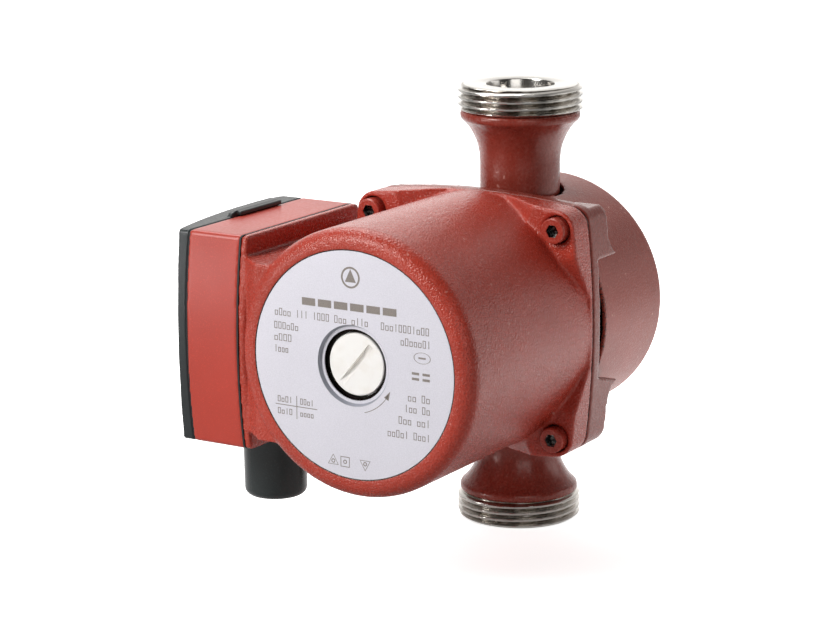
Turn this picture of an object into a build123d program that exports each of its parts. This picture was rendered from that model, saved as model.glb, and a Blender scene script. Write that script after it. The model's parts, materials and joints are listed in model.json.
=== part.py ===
"""Wet-rotor circulator pump with an inline pump housing and G 1 1/4 union ends.

All sizes are in millimetres.  Z is the port axis, with the inlet at the bottom and the
outlet at the top.  Y is the shaft axis: the nameplate faces -Y and the pump housing is
at +Y.  The terminal box is on the -X side.  The origin is where the two axes cross.
"""

import os
from math import cos, pi, radians, sin, sqrt

from build123d import *

os.makedirs("parts", exist_ok=True)

# --- driving dimensions -------------------------------------------------------------

# ports and union threads
PORT_TO_PORT = 150.0
THREAD_R = 20.955
THREAD_PITCH = 2.309
THREAD_DEPTH = 1.479
THREAD_CRESTS = 4
PORT_BORE_R = 11.4
PORT_FACE_R = 19.6
LIP_R = 20.2
LIP_END = 66.0
NECK_R = 13.5
DUCT_R = 9.0
DUCT_OUTER_R = 11.2
SPIGOT_R = 15.0
SPIGOT_START = 61.0

# motor casing
CASING_R = 43.0
CASING_FRONT = -105.9
CASING_EDGE_R = 5.0
CAVITY_R = 37.2
CAVITY_FRONT = -100.5
LABEL_R = 36.3
LABEL_RECESS = 0.6
LABEL_T = 0.4
DISH_R = 13.25
DISH_DEPTH = 1.3
DISH_HOLE_R = 11.4
NOSE_HOLE_R = 12.0

# flange joint
FLANGE_FRONT = -36.2
FLANGE_BACK = -27.6
FLANGE_HALF = 40.3
FLANGE_BOW = 2.8
FLANGE_CORNER_R = 7.0
FLANGE_T = 2.2
JOINT_CHAMFER = 0.6
EAR_FRONT = -38.4
EAR_TIP_R = 10.7
EAR_FOOT_R = 28.5
SCREW_OFFSET = 34.7
SCREW_R = 2.5
SCREW_END = -16.5
HEAD_R = 4.2
HEAD_H = 5.0
SEAT_R = 4.7

# pump housing
PLATE_BACK = -23.0
SEAT_Y = -24.0
SEAT_BORE_R = 39.1
RING_R = 38.7
CHAMBER_R = 30.0
CHAMBER_BACK = -5.0
BODY_BACK = -2.0
LUG_BACK = -14.8
LUG_FLARE_BACK = -8.8
LUG_INNER_X = 29.0
LUG_TOP = 39.6
UPPER_HEEL_Z = 22.7
LOWER_HEEL_Z = 20.0
LOWER_SHELF_Z = 16.6
CLEAT = 4.0
WEAR_SEAT_R = 13.0
WEAR_SEAT_FRONT = -9.0

# drum
DRUM_R = 41.2
DRUM_T = 1.4
DRUM_FRONT = -15.7
DRUM_BACK = 27.1
DRUM_EDGE_R = 3.0
DRUM_GAP = 0.6
DRUM_NOTCH_R = 14.8

# rotor and wet end
SHAFT_R = 4.0
RUNNING_GAP = 0.05
BUSH_R = 7.0
CAN_INNER_R = 22.8
CAN_R = 23.3
ROTOR_R = 22.2
CORE_FRONT = -82.0
CORE_BACK = -42.0
IMPELLER_R = 26.0
EYE_R = 9.2
EYE_NECK_R = 11.0
BLADES = 6

# vent plug
PLUG_R = 10.0
PLUG_FACE = -103.6
PLUG_SHANK_R = 6.0
PLUG_PITCH = 1.5
SLOT_ANGLE = 50.0

# terminal box, its cover and the cable gland
BOX_JOINT_X = -48.0
BOX_OPEN_X = -68.0
BOX_TOP = 34.5
BOX_BOTTOM = -36.0
BOX_BACK_Y = -29.5
BOX_FRONT_Y = -96.0
BOX_BULGE = 2.9
BOX_WALL = 2.3
BOX_BASE_X = -51.1
GASKET_T = 0.6
GLAND_X = -59.3
GLAND_Y = -62.0
GLAND_R = 11.0
GLAND_BOTTOM = -61.0
CABLE_R = 4.5
SPIGOT_THREAD_R = 8.6
LEAD_Y = -88.0
LEAD_Z = 10.0
POST_Y = -55.0
POST_Z = 2.5
POST_L = 15.0
BOX_SCREWS = ((-88.0, 24.0), (-37.0, -23.0))
EARTH_SCREW = (-88.0, -23.0)
SMALL_SCREW_R = 1.5
SMALL_HEAD_R = 3.3
SMALL_SCREW_END_X = -41.5

PORT_END = PORT_TO_PORT / 2


# --- shared profiles ----------------------------------------------------------------


def band(r_in, r_out, y_front, y_back):
    """Half section of a ring about Y, drawn with the radius along X."""
    with Locations(((r_in + r_out) / 2, (y_front + y_back) / 2)):
        Rectangle(r_out - r_in, y_back - y_front)


def thread_points(crest_r, depth, pitch, last_crest, count, step):
    """Outline of a male thread's crests as (radius, distance) points.

    The crests are ring-shaped.  last_crest is the crest nearest the free end and step
    is the direction from the root end to the free end, +1 or -1.
    """
    crest_half = 0.08 * pitch
    root_half = 0.42 * pitch
    points = []
    for turn in reversed(range(count)):
        centre = last_crest - step * turn * pitch
        points.append((crest_r - depth, centre - step * root_half))
        points.append((crest_r, centre - step * crest_half))
        points.append((crest_r, centre + step * crest_half))
        points.append((crest_r - depth, centre + step * root_half))
    return points


# square with bowed sides, shared by the motor flange and the pump housing's plate
with BuildSketch() as joint_outline:
    with BuildLine():
        bowed_side = ThreePointArc(
            (-FLANGE_HALF, FLANGE_HALF),
            (0, FLANGE_HALF + FLANGE_BOW),
            (FLANGE_HALF, FLANGE_HALF),
        )
        for quarter in (1, 2, 3):
            add(bowed_side.rotate(Axis.Z, 90 * quarter))
    make_face()
    fillet(joint_outline.vertices(), FLANGE_CORNER_R)

with BuildSketch(Plane.YZ) as box_outline:
    with BuildLine():
        Polyline(
            (BOX_FRONT_Y, BOX_TOP),
            (BOX_BACK_Y, BOX_TOP),
            (BOX_BACK_Y, BOX_BOTTOM),
            (BOX_FRONT_Y, BOX_BOTTOM),
        )
        ThreePointArc(
            (BOX_FRONT_Y, BOX_BOTTOM),
            (BOX_FRONT_Y - BOX_BULGE, (BOX_TOP + BOX_BOTTOM) / 2),
            (BOX_FRONT_Y, BOX_TOP),
        )
    make_face()
    fillet(box_outline.vertices(), 1.8)


# --- union ends: turned stainless rings with G 1 1/4 threads -------------------------


def draw_union(side):
    """Half section of a union end, radius along X, with the port face at side * 75."""
    last_crest = PORT_END - 1.35
    outline = [(PORT_BORE_R, SPIGOT_START), (SPIGOT_R, SPIGOT_START), (SPIGOT_R, LIP_END)]
    outline += [(THREAD_R - THREAD_DEPTH, LIP_END)]
    crests = thread_points(THREAD_R, THREAD_DEPTH, THREAD_PITCH, last_crest, THREAD_CRESTS, 1)
    outline += crests[1:-1]
    outline += [(PORT_FACE_R, PORT_END), (PORT_BORE_R + 0.5, PORT_END)]
    outline += [(PORT_BORE_R, PORT_END - 0.5), (PORT_BORE_R, SPIGOT_START)]
    Polyline(*[(radius, side * height) for radius, height in outline])


with BuildPart() as inlet_union:
    with BuildSketch(Plane.XZ):
        with BuildLine():
            draw_union(-1)
        make_face()
    revolve(axis=Axis.Z)

inlet_union.part.label = "inlet_union"
export_step(inlet_union.part, "parts/inlet_union.step")

with BuildPart() as outlet_union:
    with BuildSketch(Plane.XZ):
        with BuildLine():
            draw_union(1)
        make_face()
    revolve(axis=Axis.Z)

outlet_union.part.label = "outlet_union"
export_step(outlet_union.part, "parts/outlet_union.step")


# --- pump housing: plate, lugs, impeller chamber, ducts and flared necks --------------

CHAMBER_MID = (SEAT_Y + CHAMBER_BACK) / 2

with BuildLine() as suction_path:
    suction_start = Line((0, 0, -SPIGOT_START), (0, 0, -46))
    suction_bend = Spline(
        suction_start @ 1, (0, 12, -13), tangents=((0, 0, 1), (0, 0, 1))
    )
    suction_elbow = RadiusArc(suction_bend @ 1, (0, -1, 0), -13)
    Line(suction_elbow @ 1, (0, CHAMBER_BACK - 4, 0))

with BuildLine() as delivery_path:
    delivery_start = Line((0, 0, SPIGOT_START), (0, 0, 46))
    Spline(delivery_start @ 1, (0, CHAMBER_MID, 20), tangents=((0, 0, -1), (0, 0, -1)))


def draw_lug(side, shelf_z, heel_z):
    """Side outline of a screw lug with a flared heel, drawn above or below the shaft."""
    Polyline(
        (LUG_FLARE_BACK, side * heel_z),
        (PLATE_BACK, side * shelf_z),
        (PLATE_BACK, side * LUG_TOP),
        (LUG_BACK, side * LUG_TOP),
        (LUG_BACK, side * (heel_z + 9)),
    )
    ThreePointArc(
        (LUG_BACK, side * (heel_z + 9)),
        (LUG_BACK + 1.2, side * (heel_z + 3.6)),
        (LUG_FLARE_BACK, side * heel_z),
    )


with BuildPart() as screw_lugs:
    with BuildSketch(Plane.YZ.offset(LUG_INNER_X)):
        with BuildLine():
            draw_lug(1, UPPER_HEEL_Z, UPPER_HEEL_Z)
        make_face()
        with BuildLine():
            draw_lug(-1, LOWER_SHELF_Z, LOWER_HEEL_Z)
        make_face()
    extrude(amount=FLANGE_HALF + FLANGE_BOW - LUG_INNER_X)
    mirror(about=Plane.YZ)
    with BuildSketch(Plane.XZ.offset(-LUG_FLARE_BACK)):
        add(joint_outline.sketch)
    extrude(amount=LUG_FLARE_BACK - PLATE_BACK, mode=Mode.INTERSECT)
    with BuildSketch():
        band(0, DRUM_R + DRUM_GAP, DRUM_FRONT - DRUM_GAP, 0)
    revolve(axis=Axis.Y, mode=Mode.SUBTRACT)

with BuildPart() as pump_housing:
    # plate that the motor flange is screwed to
    with BuildSketch(Plane.XZ.offset(-PLATE_BACK)):
        add(joint_outline.sketch)
    extrude(amount=PLATE_BACK - FLANGE_BACK)
    chamfer(pump_housing.faces().sort_by(Axis.Y)[0].edges(), JOINT_CHAMFER)
    # chamber body, which the drum is pushed over
    with BuildSketch():
        band(0, RING_R, PLATE_BACK, BODY_BACK)
    revolve(axis=Axis.Y)
    # cleats on its rim, which the drum is fixed to
    with BuildSketch(Plane.XZ.offset(CLEAT)):
        with PolarLocations(RING_R, 4, start_angle=45):
            Rectangle(CLEAT, 2 * CLEAT)
        Circle(DRUM_R - DRUM_T, mode=Mode.INTERSECT)
    extrude(amount=1.5 * CLEAT)
    # flared necks
    for side in (-1, 1):
        with BuildSketch(Plane.XZ):
            with BuildLine():
                flare = Spline(
                    (NECK_R, side * 44.5),
                    (14.2, side * 54.0),
                    (16.9, side * 60.0),
                    (LIP_R - 0.4, side * 63.2),
                    tangents=((0, side), (1.0, 0.75 * side)),
                )
                Polyline(
                    flare @ 1,
                    (LIP_R, side * 63.9),
                    (LIP_R, side * (LIP_END - 0.5)),
                    (LIP_R - 0.5, side * LIP_END),
                    (0, side * LIP_END),
                    (0, side * 20),
                    (NECK_R, side * 20),
                    flare @ 0,
                )
            make_face()
        revolve(axis=Axis.Z)
    # bent ducts behind the chamber and above it
    with BuildSketch(Plane.XY.offset(-SPIGOT_START)):
        Circle(DUCT_OUTER_R)
    sweep(path=suction_path.line)
    # screw lugs at the four corners
    add(screw_lugs.part)
    # impeller chamber and the seat for the bearing plate
    with BuildSketch():
        band(0, CHAMBER_R, FLANGE_BACK, CHAMBER_BACK)
        band(0, SEAT_BORE_R, FLANGE_BACK, SEAT_Y)
    revolve(axis=Axis.Y, mode=Mode.SUBTRACT)
    # raised seat for the wear ring
    with BuildSketch():
        band(0, WEAR_SEAT_R + 2.5, WEAR_SEAT_FRONT, CHAMBER_BACK)
    revolve(axis=Axis.Y)
    with BuildSketch():
        band(0, WEAR_SEAT_R, WEAR_SEAT_FRONT, CHAMBER_BACK)
    revolve(axis=Axis.Y, mode=Mode.SUBTRACT)
    # water ways
    with BuildSketch(Plane.XY.offset(-SPIGOT_START)):
        Circle(DUCT_R)
    sweep(path=suction_path.line, mode=Mode.SUBTRACT)
    with BuildSketch(Plane.XY.offset(SPIGOT_START)):
        Circle(DUCT_R)
    sweep(path=delivery_path.line, mode=Mode.SUBTRACT)
    for side in (-1, 1):
        with BuildSketch(Plane.XY.offset(side * SPIGOT_START)):
            Circle(SPIGOT_R)
        extrude(amount=side * (LIP_END - SPIGOT_START), mode=Mode.SUBTRACT)
    # tapped holes for the flange screws
    with BuildSketch(Plane.XZ.offset(-FLANGE_BACK)):
        with GridLocations(2 * SCREW_OFFSET, 2 * SCREW_OFFSET, 2, 2):
            Circle(SCREW_R + RUNNING_GAP)
    extrude(amount=FLANGE_BACK - SCREW_END - 0.5, mode=Mode.SUBTRACT)

pump_housing.part.label = "pump_housing"
export_step(pump_housing.part, "parts/pump_housing.step")


# --- drum: pressed shell over the back of the pump housing ---------------------------

with BuildPart() as housing_drum:
    with BuildSketch():
        band(0, DRUM_R, DRUM_FRONT, DRUM_BACK)
    revolve(axis=Axis.Y)
    fillet(housing_drum.faces().sort_by(Axis.Y)[-1].edges(), DRUM_EDGE_R)
    offset(
        amount=-DRUM_T,
        openings=housing_drum.faces().sort_by(Axis.Y)[0],
        mode=Mode.REPLACE,
    )
    with BuildSketch():
        Circle(DRUM_NOTCH_R)
    extrude(amount=DRUM_R + 5, both=True, mode=Mode.SUBTRACT)

housing_drum.part.label = "housing_drum"
export_step(housing_drum.part, "parts/housing_drum.step")


# --- motor casing: cast pot with a screw flange and a wing for the terminal box ------

WING_X = BOX_JOINT_X + 2.4
WING_TOP = 28.0
WING_BOTTOM = -29.5

with BuildPart() as flange_ears:
    # low cones round the screws, cut to the flange's square outline
    for x_side, z_side in ((-1, -1), (-1, 1), (1, -1), (1, 1)):
        ear_axis = (x_side * SCREW_OFFSET, 0, z_side * SCREW_OFFSET)
        with BuildSketch(Plane(origin=ear_axis, x_dir=(1, 0, 0), z_dir=(0, 0, 1))):
            with BuildLine():
                Polyline(
                    (0, EAR_FRONT),
                    (EAR_TIP_R, EAR_FRONT),
                    (EAR_FOOT_R, FLANGE_BACK),
                    (0, FLANGE_BACK),
                    close=True,
                )
            make_face()
        revolve(axis=Axis(ear_axis, (0, 1, 0)))
    with BuildSketch(Plane.XZ.offset(-FLANGE_BACK)):
        add(joint_outline.sketch)
    extrude(amount=FLANGE_BACK - EAR_FRONT, mode=Mode.INTERSECT)

with BuildPart() as motor_casing:
    with BuildSketch():
        band(0, CASING_R, CASING_FRONT, FLANGE_BACK)
    revolve(axis=Axis.Y)
    fillet(motor_casing.faces().sort_by(Axis.Y)[0].edges(), CASING_EDGE_R)
    with BuildSketch(Plane.XZ.offset(-FLANGE_BACK)):
        add(joint_outline.sketch)
    extrude(amount=FLANGE_T)
    add(flange_ears.part)
    chamfer(motor_casing.faces().sort_by(Axis.Y)[-1].edges(), JOINT_CHAMFER)
    # wing: a block behind the terminal box, with a sloping front wall
    with BuildSketch(Plane.XY.offset(WING_BOTTOM)):
        with BuildLine():
            Polyline(
                (-20, -31),
                (WING_X, -31),
                (WING_X, BOX_FRONT_Y - 1.2),
                (-37.5, -104.0),
                (-20, -104.0),
                close=True,
            )
        make_face()
    extrude(amount=WING_TOP - WING_BOTTOM)
    with BuildSketch(Plane.YZ.offset(BOX_JOINT_X)):
        add(box_outline.sketch_local)
    extrude(amount=WING_X - BOX_JOINT_X)
    # seats and clearance holes for the flange screws
    with BuildSketch(Plane.XZ.offset(-FLANGE_FRONT)):
        with GridLocations(2 * SCREW_OFFSET, 2 * SCREW_OFFSET, 2, 2):
            Circle(SEAT_R)
    extrude(amount=25, mode=Mode.SUBTRACT)
    with BuildSketch(Plane.XZ.offset(-FLANGE_BACK)):
        with GridLocations(2 * SCREW_OFFSET, 2 * SCREW_OFFSET, 2, 2):
            Circle(SCREW_R + 0.25)
    extrude(amount=FLANGE_BACK - FLANGE_FRONT, mode=Mode.SUBTRACT)
    # stator bore, hole for the can's nose and the recess for the nameplate
    with BuildSketch():
        band(0, CAVITY_R, CAVITY_FRONT, FLANGE_BACK)
        band(0, NOSE_HOLE_R, CASING_FRONT, CAVITY_FRONT)
        band(0, DISH_R + 0.6, CASING_FRONT, CASING_FRONT + DISH_DEPTH + 1.2)
        band(0, LABEL_R + 0.15, CASING_FRONT, CASING_FRONT + LABEL_RECESS)
    revolve(axis=Axis.Y, mode=Mode.SUBTRACT)
    # hole for the motor leads and tapped holes for the box and earth screws
    with BuildSketch(Plane.YZ.offset(BOX_JOINT_X)):
        with Locations((LEAD_Y, LEAD_Z)):
            Circle(4.5)
    extrude(amount=20, mode=Mode.SUBTRACT)
    with BuildSketch(Plane.YZ.offset(BOX_JOINT_X)):
        with Locations(*BOX_SCREWS, EARTH_SCREW):
            Circle(SMALL_SCREW_R + RUNNING_GAP)
    extrude(amount=8, mode=Mode.SUBTRACT)

motor_casing.part.label = "motor_casing"
export_step(motor_casing.part, "parts/motor_casing.step")


# --- flange screws: M5 socket heads ---------------------------------------------------

SOCKET_AF = 4.0

with BuildPart() as flange_screws:
    with BuildSketch(Plane.XZ.offset(-SCREW_END)):
        with GridLocations(2 * SCREW_OFFSET, 2 * SCREW_OFFSET, 2, 2):
            Circle(SCREW_R)
    extrude(amount=SCREW_END - FLANGE_FRONT)
    with BuildSketch(Plane.XZ.offset(-FLANGE_FRONT)):
        with GridLocations(2 * SCREW_OFFSET, 2 * SCREW_OFFSET, 2, 2):
            Circle(HEAD_R)
    extrude(amount=HEAD_H)
    head_faces = flange_screws.faces().filter_by(Axis.Y).group_by(Axis.Y)[0]
    fillet(head_faces.edges(), 0.5)
    with BuildSketch(Plane.XZ.offset(HEAD_H - FLANGE_FRONT)):
        with GridLocations(2 * SCREW_OFFSET, 2 * SCREW_OFFSET, 2, 2):
            RegularPolygon(SOCKET_AF / sqrt(3), 6)
    extrude(amount=-2.8, mode=Mode.SUBTRACT)

flange_screws.part.label = "flange_screws"
export_step(flange_screws.part, "parts/flange_screws.step")


# --- nameplate: thin disc whose centre is dished in round the vent plug ---------------

LABEL_BACK = CASING_FRONT + LABEL_RECESS
LABEL_FACE = LABEL_BACK - LABEL_T

with BuildPart() as nameplate:
    with BuildSketch():
        with BuildLine():
            Polyline(
                (LABEL_R, LABEL_FACE),
                (LABEL_R, LABEL_BACK),
                (DISH_R, LABEL_BACK),
                (DISH_R - 0.5, LABEL_BACK + DISH_DEPTH),
                (DISH_HOLE_R, LABEL_BACK + DISH_DEPTH),
                (DISH_HOLE_R, LABEL_FACE + DISH_DEPTH),
                (DISH_R - 0.9, LABEL_FACE + DISH_DEPTH),
                (DISH_R - 0.3, LABEL_FACE),
                close=True,
            )
        make_face()
    revolve(axis=Axis.Y)

nameplate.part.label = "nameplate"
export_step(nameplate.part, "parts/nameplate.step")


# --- rotor can: thin stainless cup with a flange and a nose for the vent plug ---------

CAN_FRONT = -95.0
CAN_FRONT_INNER = -93.5
NOSE_FACE = -103.2
NOSE_FLOOR = -99.4
NOSE_R = 11.3
CAN_FLANGE_T = 0.7

with BuildPart() as rotor_can:
    with BuildSketch():
        band(PLUG_SHANK_R, CAN_R, CAN_FRONT, CAN_FRONT_INNER)
        band(CAN_INNER_R, CAN_R, CAN_FRONT_INNER, FLANGE_BACK + CAN_FLANGE_T)
        band(CAN_INNER_R, SEAT_BORE_R, FLANGE_BACK, FLANGE_BACK + CAN_FLANGE_T)
        band(PLUG_SHANK_R, NOSE_R, NOSE_FACE, CAN_FRONT)
    revolve(axis=Axis.Y)
    with BuildSketch():
        band(0, PLUG_R + 0.4, NOSE_FACE, NOSE_FLOOR)
        band(0, PLUG_SHANK_R + RUNNING_GAP, NOSE_FLOOR, CAN_FRONT_INNER)
    revolve(axis=Axis.Y, mode=Mode.SUBTRACT)

rotor_can.part.label = "rotor_can"
export_step(rotor_can.part, "parts/rotor_can.step")


# --- vent plug and its seal ring --------------------------------------------------------

PLUG_HEAD_BACK = -100.9
PLUG_END = -94.5
SLOT_W = 2.0
SLOT_DEPTH = 1.5
SLOT_HALF_L = 8.4
SLOT_CUTTER_R = (SLOT_HALF_L**2 + SLOT_DEPTH**2) / (2 * SLOT_DEPTH)
ACROSS_SLOT = (-sin(radians(SLOT_ANGLE)), 0, cos(radians(SLOT_ANGLE)))

with BuildPart() as vent_plug:
    with BuildSketch():
        band(0, PLUG_R, PLUG_FACE, PLUG_HEAD_BACK)
    revolve(axis=Axis.Y)
    chamfer(vent_plug.faces().sort_by(Axis.Y)[0].edges(), 0.25)
    crest_line = thread_points(PLUG_SHANK_R, 0.7, PLUG_PITCH, PLUG_END - 0.75, 3, 1)
    with BuildSketch():
        with BuildLine():
            Polyline(
                (0, PLUG_HEAD_BACK),
                (PLUG_SHANK_R - 0.7, PLUG_HEAD_BACK),
                *crest_line,
                (0, crest_line[-1][1]),
                close=True,
            )
        make_face()
    revolve(axis=Axis.Y)
    # screwdriver slot with the round floor that a disc cutter leaves
    cutter_centre = (0, PLUG_FACE + SLOT_DEPTH - SLOT_CUTTER_R, 0)
    with BuildSketch(Plane(origin=cutter_centre, z_dir=ACROSS_SLOT)):
        Circle(SLOT_CUTTER_R)
    extrude(amount=SLOT_W / 2, both=True, mode=Mode.SUBTRACT)

vent_plug.part.label = "vent_plug"
export_step(vent_plug.part, "parts/vent_plug.step")

with BuildPart() as vent_seal:
    with BuildSketch() as seal_section:
        band(PLUG_SHANK_R + RUNNING_GAP, PLUG_R, PLUG_HEAD_BACK, NOSE_FLOOR)
        fillet(seal_section.vertices(), 0.4)
    revolve(axis=Axis.Y)

vent_seal.part.label = "vent_seal"
export_step(vent_seal.part, "parts/vent_seal.step")


# --- bearings and the plates that carry them --------------------------------------------

REAR_PLATE_T = 1.4
REAR_PLATE_FRONT = FLANGE_BACK + CAN_FLANGE_T
REAR_BOSS_FRONT = -33.4
FRONT_PLATE_BACK = -91.4
FRONT_BOSS_BACK = -85.5

with BuildPart() as bearing_plate:
    with BuildSketch():
        band(BUSH_R, SEAT_BORE_R - 0.2, REAR_PLATE_FRONT, REAR_PLATE_FRONT + REAR_PLATE_T)
        band(BUSH_R, BUSH_R + 2.5, REAR_BOSS_FRONT, REAR_PLATE_FRONT + REAR_PLATE_T)
    revolve(axis=Axis.Y)

bearing_plate.part.label = "bearing_plate"
export_step(bearing_plate.part, "parts/bearing_plate.step")

with BuildPart() as rear_bearing:
    with BuildSketch():
        band(SHAFT_R + RUNNING_GAP, BUSH_R, REAR_BOSS_FRONT, REAR_PLATE_FRONT + REAR_PLATE_T)
    revolve(axis=Axis.Y)

rear_bearing.part.label = "rear_bearing"
export_step(rear_bearing.part, "parts/rear_bearing.step")

with BuildPart() as front_bearing_plate:
    with BuildSketch():
        band(5, CAN_INNER_R, CAN_FRONT_INNER, FRONT_PLATE_BACK)
        band(BUSH_R, BUSH_R + 2.5, FRONT_PLATE_BACK, FRONT_BOSS_BACK)
        band(BUSH_R, CAN_INNER_R, CAN_FRONT_INNER, FRONT_PLATE_BACK)
    revolve(axis=Axis.Y)

front_bearing_plate.part.label = "front_bearing_plate"
export_step(front_bearing_plate.part, "parts/front_bearing_plate.step")

with BuildPart() as front_bearing:
    with BuildSketch():
        band(SHAFT_R + RUNNING_GAP, BUSH_R, FRONT_PLATE_BACK, FRONT_BOSS_BACK)
    revolve(axis=Axis.Y)

front_bearing.part.label = "front_bearing"
export_step(front_bearing.part, "parts/front_bearing.step")

with BuildPart() as housing_gasket:
    with BuildSketch():
        band(33, SEAT_BORE_R - 0.2, REAR_PLATE_FRONT + REAR_PLATE_T, SEAT_Y)
    revolve(axis=Axis.Y)

housing_gasket.part.label = "housing_gasket"
export_step(housing_gasket.part, "parts/housing_gasket.step")

with BuildPart() as wear_ring:
    with BuildSketch():
        band(EYE_NECK_R + 0.08, WEAR_SEAT_R, WEAR_SEAT_FRONT, CHAMBER_BACK)
    revolve(axis=Axis.Y)

wear_ring.part.label = "wear_ring"
export_step(wear_ring.part, "parts/wear_ring.step")


# --- rotor: shaft, core, end rings, thrust ring, impeller and its clip ------------------

SHAFT_FRONT = -92.4
SHAFT_BACK = -9.5
CLIP_FRONT = -11.9
CLIP_T = 0.9
CLIP_GROOVE_R = 3.3
ROTOR_FRONT = CORE_FRONT + 1
END_RING_L = 3.5

with BuildPart() as shaft:
    with BuildSketch():
        band(0, SHAFT_R, SHAFT_FRONT, SHAFT_BACK)
    revolve(axis=Axis.Y)
    chamfer(shaft.faces().filter_by(Axis.Y).edges(), 0.4)
    with BuildSketch():
        band(CLIP_GROOVE_R, SHAFT_R + 1, CLIP_FRONT, CLIP_FRONT + CLIP_T)
    revolve(axis=Axis.Y, mode=Mode.SUBTRACT)

shaft.part.label = "shaft"
export_step(shaft.part, "parts/shaft.step")

with BuildPart() as rotor_core:
    with BuildSketch():
        band(SHAFT_R, ROTOR_R, ROTOR_FRONT, CORE_BACK)
    revolve(axis=Axis.Y)

rotor_core.part.label = "rotor_core"
export_step(rotor_core.part, "parts/rotor_core.step")

with BuildPart() as rotor_end_rings:
    with BuildSketch():
        band(11, ROTOR_R - 1, ROTOR_FRONT - END_RING_L, ROTOR_FRONT)
        band(11, ROTOR_R - 1, CORE_BACK, CORE_BACK + END_RING_L)
    revolve(axis=Axis.Y)

rotor_end_rings.part.label = "rotor_end_rings"
export_step(rotor_end_rings.part, "parts/rotor_end_rings.step")

with BuildPart() as thrust_bearing:
    with BuildSketch():
        band(SHAFT_R, 8, -37.0, REAR_BOSS_FRONT - 2 * RUNNING_GAP)
    revolve(axis=Axis.Y)

thrust_bearing.part.label = "thrust_bearing"
export_step(thrust_bearing.part, "parts/thrust_bearing.step")

HUB_R = 7.5
BACK_SHROUD_FRONT = -22.6
BACK_SHROUD_BACK = -21.0
EYE_SHROUD_FRONT = -11.0
EYE_SHROUD_BACK = -9.4
BLADE_T = 1.5
BLADE_SWEEP = -0.9

with BuildSketch() as blade_outline:
    with BuildLine():
        ThreePointArc(
            (HUB_R + 1.5, 0),
            (17.5 * cos(0.35 * BLADE_SWEEP), 17.5 * sin(0.35 * BLADE_SWEEP)),
            (25.4 * cos(BLADE_SWEEP), 25.4 * sin(BLADE_SWEEP)),
        )
    trace(line_width=BLADE_T)

with BuildPart() as impeller:
    with BuildSketch():
        band(SHAFT_R, IMPELLER_R, BACK_SHROUD_FRONT, BACK_SHROUD_BACK)
        band(SHAFT_R, HUB_R, BACK_SHROUD_FRONT, CLIP_FRONT)
        band(EYE_R, IMPELLER_R, EYE_SHROUD_FRONT, EYE_SHROUD_BACK)
        band(EYE_R, EYE_NECK_R, EYE_SHROUD_FRONT, CHAMBER_BACK - 0.4)
    revolve(axis=Axis.Y)
    with BuildSketch(Plane.XZ.offset(-EYE_SHROUD_FRONT)):
        with PolarLocations(0, BLADES):
            add(blade_outline.sketch_local)
    extrude(amount=EYE_SHROUD_FRONT - BACK_SHROUD_BACK)

impeller.part.label = "impeller"
export_step(impeller.part, "parts/impeller.step")

with BuildPart() as impeller_clip:
    with BuildSketch(Plane.XZ.offset(-CLIP_FRONT)):
        Circle(6.2)
        Circle(CLIP_GROOVE_R, mode=Mode.SUBTRACT)
        with Locations((5, 0)):
            Rectangle(10, 3.2, mode=Mode.SUBTRACT)
    extrude(amount=-CLIP_T)

impeller_clip.part.label = "impeller_clip"
export_step(impeller_clip.part, "parts/impeller_clip.step")


# --- stator: laminated core with semi-closed slots, and the windings --------------------

SLOTS = 12
SLOT_IN_R = 26.5
SLOT_OUT_R = 33.0
SLOT_WIDTH = 6.0
STATOR_BORE_R = 23.5

with BuildPart() as stator_core:
    with BuildSketch(Plane.XZ.offset(-CORE_BACK)):
        Circle(CAVITY_R)
        Circle(STATOR_BORE_R, mode=Mode.SUBTRACT)
        with PolarLocations((SLOT_IN_R + SLOT_OUT_R) / 2, SLOTS):
            RectangleRounded(SLOT_OUT_R - SLOT_IN_R, SLOT_WIDTH, 1.5, mode=Mode.SUBTRACT)
        with PolarLocations(SLOT_IN_R - 1.5, SLOTS):
            Rectangle(6, 2, mode=Mode.SUBTRACT)
    extrude(amount=CORE_BACK - CORE_FRONT)

stator_core.part.label = "stator_core"
export_step(stator_core.part, "parts/stator_core.step")

with BuildPart() as stator_windings:
    with BuildSketch(Plane.XZ.offset(-CORE_BACK - 1)):
        with PolarLocations((SLOT_IN_R + SLOT_OUT_R) / 2, SLOTS):
            RectangleRounded(SLOT_OUT_R - SLOT_IN_R - 0.6, SLOT_WIDTH - 0.6, 1.2)
    extrude(amount=CORE_BACK - CORE_FRONT + 2)
    with BuildSketch():
        with Locations((30.2, CORE_FRONT - 5.4), (30.2, CORE_BACK + 5.4)):
            RectangleRounded(9.6, 9.6, 3.5)
    revolve(axis=Axis.Y)

stator_windings.part.label = "stator_windings"
export_step(stator_windings.part, "parts/stator_windings.step")


# --- terminal box with its spigot for the gland nut ---------------------------------------

BOX_BACK_X = BOX_JOINT_X - GASKET_T
COVER_SEAM_X = BOX_OPEN_X - 0.5
SPIGOT_BOTTOM = -51.0
SPIGOT_BORE_R = 6.0

with BuildPart() as box_gasket:
    with BuildSketch(Plane.YZ.offset(BOX_JOINT_X)):
        add(box_outline.sketch_local)
        offset(box_outline.sketch_local, amount=-3.0, mode=Mode.SUBTRACT)
    extrude(amount=-GASKET_T)

box_gasket.part.label = "box_gasket"
export_step(box_gasket.part, "parts/box_gasket.step")

spigot_crests = thread_points(SPIGOT_THREAD_R, 0.6, 1.5, SPIGOT_BOTTOM + 1.2, 8, -1)

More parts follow.
